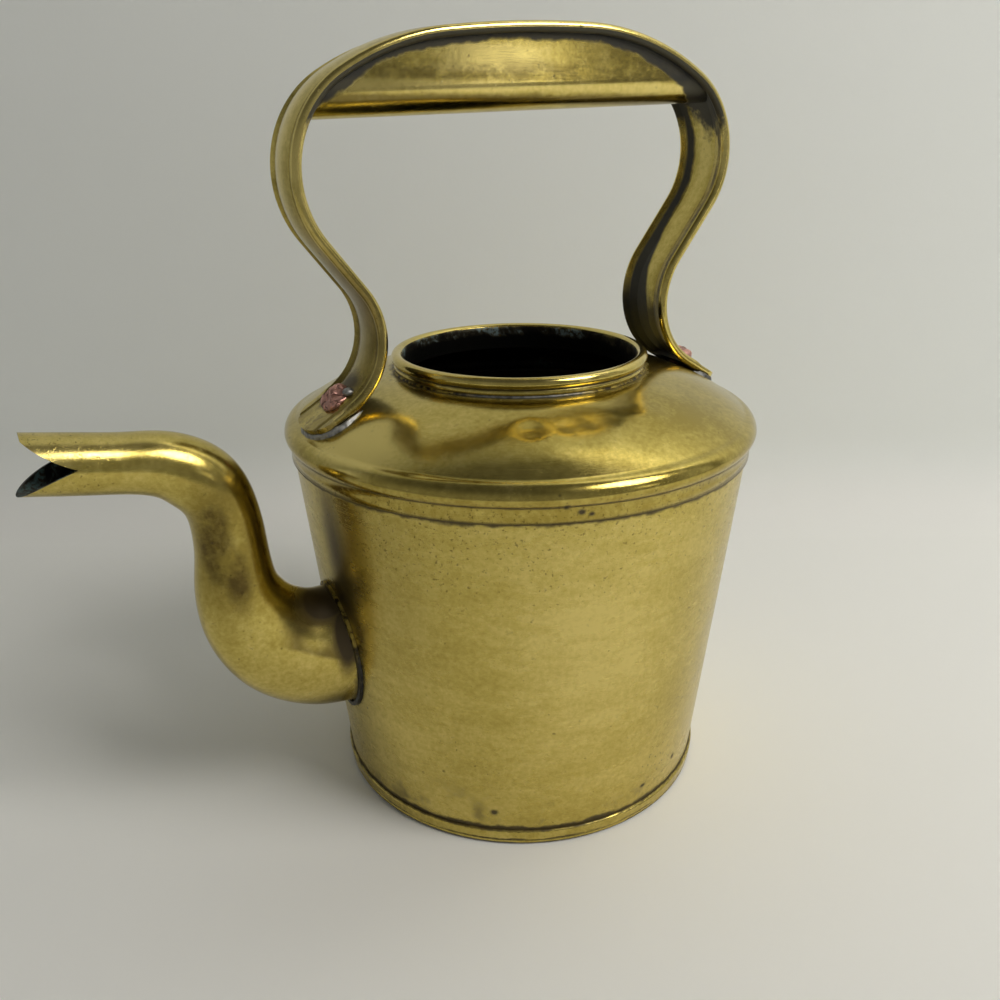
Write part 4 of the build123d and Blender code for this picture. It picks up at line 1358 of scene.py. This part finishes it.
def draw_out(piece, flank):
    """Draws one end of a foot's solder up along the foot and thins it to a point."""
    flank_width, end_length = 0.006, 0.0012
    draw, pull_reach = 0.0035, 0.010
    thin, thin_reach, sink = 0.25, 0.009, 0.0008
    turn = Matrix.Rotation(-HANDLE_SWING, 3, "Z")
    places = [(turn @ vertex.co, vertex.index) for vertex in piece.data.vertices]
    places = [(place, number) for place, number in places if place.y * flank > flank_width]
    tip = min(abs(place.x) for place, number in places)
    end = [(place, number) for place, number in places if abs(place.x) < tip + end_length]
    middle = sum((place for place, number in end), Vector()) / len(end)
    toward = Vector((-1.0 if middle.x > 0 else 1.0, 0, 0.30)) * draw
    back = turn.transposed()
    work_on(piece)
    choose(piece, "vertices", [number for place, number in end])
    with edit_mode():
        bpy.ops.transform.translate(value=back @ toward, proportional_size=pull_reach, **EASED)
        centre = back @ (middle + toward - Vector((0, 0, sink)))
        bpy.ops.transform.resize(
            value=(thin, thin, thin), center_override=centre, proportional_size=thin_reach, **EASED)


def solder_drop(place):
    """A flattened drop of solder that stands by itself."""
    pick_none()
    bpy.ops.mesh.primitive_ico_sphere_add(subdivisions=4, radius=0.0019)
    with edit_mode("SELECT"):
        bpy.ops.transform.resize(value=(1.05, 1.0, 0.75))
        bpy.ops.transform.translate(value=place)
    return bpy.context.object


class CAN_OT_stage(bpy.types.Operator):
    """Sets the pale floor and backdrop, the lamps, the room's light and the camera"""

    bl_idname = "can.stage"
    bl_label = "Stage"

    def execute(self, context):
        settings = context.scene.can_stage
        sheet = stage_sheet(settings)
        dress(sheet, stage_finish("stage", settings))
        for name, (right, ahead, up), size, power in (
                ("side lamp", (0.82, -0.46, 0.92), 0.66, settings.side_power),
                ("top lamp", (0.43, 0.42, 0.80), 0.84, settings.top_power),
                ("low lamp", (0.82, -0.57, 0.17), 0.15, settings.low_power)):
            add_lamp(name, VIEW_RIGHT * right + VIEW_AHEAD * ahead + Vector((0, 0, up)), size, power)
        context.scene.world = room_light("room", settings.sky)
        context.scene.camera = add_camera("camera", settings.lens)
        context.scene.view_settings.view_transform = "Standard"
        return {"FINISHED"}


def stage_sheet(settings):
    """One sheet: the floor, a rounded corner and the backdrop behind the can."""
    width, height, corner, gap = 6.0, 2.0, 0.05, 0.0002
    depth = settings.wall_distance + settings.table_edge
    pick_none()
    bpy.ops.mesh.primitive_plane_add(size=1.0)
    sheet = bpy.context.object
    sheet.name = "stage_sheet"
    with edit_mode("SELECT"):
        bpy.ops.transform.resize(value=(width, depth, 1.0))
        bpy.ops.transform.translate(value=(0, settings.wall_distance - depth / 2, 0))

    choose(sheet, "edges", corner_edges(sheet.data, settings.wall_distance))
    with edit_mode():
        bpy.ops.mesh.extrude_region_move(TRANSFORM_OT_translate={"value": (0, 0, height)})
    choose(sheet, "edges", corner_edges(sheet.data, settings.wall_distance))
    with edit_mode():
        bpy.ops.mesh.bevel(offset=corner, segments=16)
    bpy.ops.object.shade_smooth()
    sheet.rotation_euler = (0, 0, -VIEW_HEADING)
    sheet.location = (0, 0, -gap)
    return sheet


def corner_edges(mesh, wall_distance):
    """The numbers of the edges on the floor's line with the backdrop."""
    def on_line(number):
        place = mesh.vertices[number].co
        return abs(place.z) < 0.0001 and place.y > wall_distance - 0.01

    return [edge.index for edge in mesh.edges if all(on_line(number) for number in edge.vertices)]


def stage_finish(name, settings):
    """Matt pale sheet: floor colour below, backdrop colour above, see-through from behind."""
    r = Recipe(name)
    z = r.split()[2]
    colour = r.blend(r.band(z, 0.004, 0.04), tuple(settings.floor), tuple(settings.wall))
    grain = r.cloud(500.0, 3.0, 0.6)
    bump = r.add("ShaderNodeBump", {"Height": grain, "Distance": 0.00004, "Strength": 1.0})
    paint = r.add("ShaderNodeBsdfDiffuse", {"Color": colour, "Normal": bump.outputs["Normal"]})
    clear = r.add("ShaderNodeBsdfTransparent")
    behind = r.add("ShaderNodeNewGeometry").outputs["Backfacing"]
    mixed = r.add("ShaderNodeMixShader", {0: behind, 1: paint.outputs[0], 2: clear.outputs[0]})
    r.add("ShaderNodeOutputMaterial", {"Surface": mixed.outputs[0]})
    return r.material


def add_lamp(name, offset, size, power):
    """A round, slightly warm lamp that stands off from the can's middle and faces it."""
    aim = Vector((0, 0, 0.12))
    light = bpy.data.lights.new(name, "AREA")
    light.shape = "DISK"
    light.size = size
    light.energy = power
    light.color = (1.0, 0.97, 0.92)
    lamp = bpy.data.objects.new(name, light)
    bpy.context.scene.collection.objects.link(lamp)
    lamp.location = aim + offset
    lamp.rotation_mode = "QUATERNION"
    lamp.rotation_quaternion = (-offset).to_track_quat("-Z", "Y")


class RoomRecipe(Recipe):
    """The same steps for the room's light, with +Y ahead of the camera."""

    def __init__(self, name):
        self.world = bpy.data.worlds.new(name)
        self.start(self.world, "Generated")
        self.place = self.turned(angle=(0, 0, VIEW_HEADING))


def room_light(name, strength):
    """Even light, pale round the horizon, dim overhead and in front of the can, and dark high up there."""
    r = RoomRecipe(name)
    _, ahead, up = r.split()
    high = r.band(up, 0.08, 0.85)
    behind = r.blend(high, (0.70, 0.71, 0.70), (0.12, 0.12, 0.115))
    front = r.blend(high, (0.24, 0.24, 0.235), (0.08, 0.08, 0.075))
    tones = r.blend(r.band(ahead, -0.35, 0.25), front, behind)
    sky = r.add("ShaderNodeBackground", {"Color": tones, "Strength": strength})
    r.add("ShaderNodeOutputWorld", {"Surface": sky.outputs[0]})
    return r.world


def add_camera(name, lens):
    """The camera, in front of the can and above it."""
    data = bpy.data.cameras.new(name)
    data.lens = lens
    data.sensor_width = 36.0
    camera = bpy.data.objects.new(name, data)
    bpy.context.scene.collection.objects.link(camera)
    heading = Matrix.Rotation(-VIEW_HEADING, 4, "Z")
    down = Matrix.Rotation(math.radians(90) - VIEW_DOWN, 4, "X")
    lean = Matrix.Rotation(VIEW_LEAN, 4, "Z")
    camera.matrix_world = Matrix.Translation(CAMERA_PLACE) @ (heading @ down) @ lean
    return camera


class CAN_PT_panel(bpy.types.Panel):
    """Lists the can's parts and their settings"""

    bl_idname = "CAN_PT_panel"
    bl_label = "Water Can"
    bl_space_type = "VIEW_3D"
    bl_region_type = "UI"
    bl_category = "Water Can"

    def draw(self, context):
        for operator in OPERATORS:
            self.layout.operator(operator.bl_idname)
        for name, group in SETTINGS.items():
            box = self.layout.box()
            box.label(text=group.__doc__)
            for key in group.__annotations__:
                box.prop(getattr(context.scene, name), key)


SETTINGS = {
    "can_brass": BrassSettings,
    "can_rivets": RivetSettings,
    "can_solder": SolderSettings,
    "can_shoulder": ShoulderSettings,
    "can_spout": SpoutSettings,
    "can_stage": StageSettings,
}
OPERATORS = (
    CAN_OT_stage, CAN_OT_barrel, CAN_OT_shoulder, CAN_OT_neck, CAN_OT_spout,
    CAN_OT_handle, CAN_OT_rivets, CAN_OT_solder,
)
CLASSES = (*SETTINGS.values(), *OPERATORS, CAN_PT_panel)


def register():
    """Registers the classes and hangs the settings on the scene."""
    for cls in CLASSES:
        bpy.utils.register_class(cls)
    for name, group in SETTINGS.items():
        setattr(bpy.types.Scene, name, bpy.props.PointerProperty(type=group))


def unregister():
    """Takes them away again."""
    for name in SETTINGS:
        delattr(bpy.types.Scene, name)
    for cls in reversed(CLASSES):
        bpy.utils.unregister_class(cls)


def main():
    """Registers the add-on and makes every part."""
    register()
    for operator in OPERATORS:
        group, name = operator.bl_idname.split(".")
        getattr(getattr(bpy.ops, group), name)()


if __name__ == "__main__":
    main()
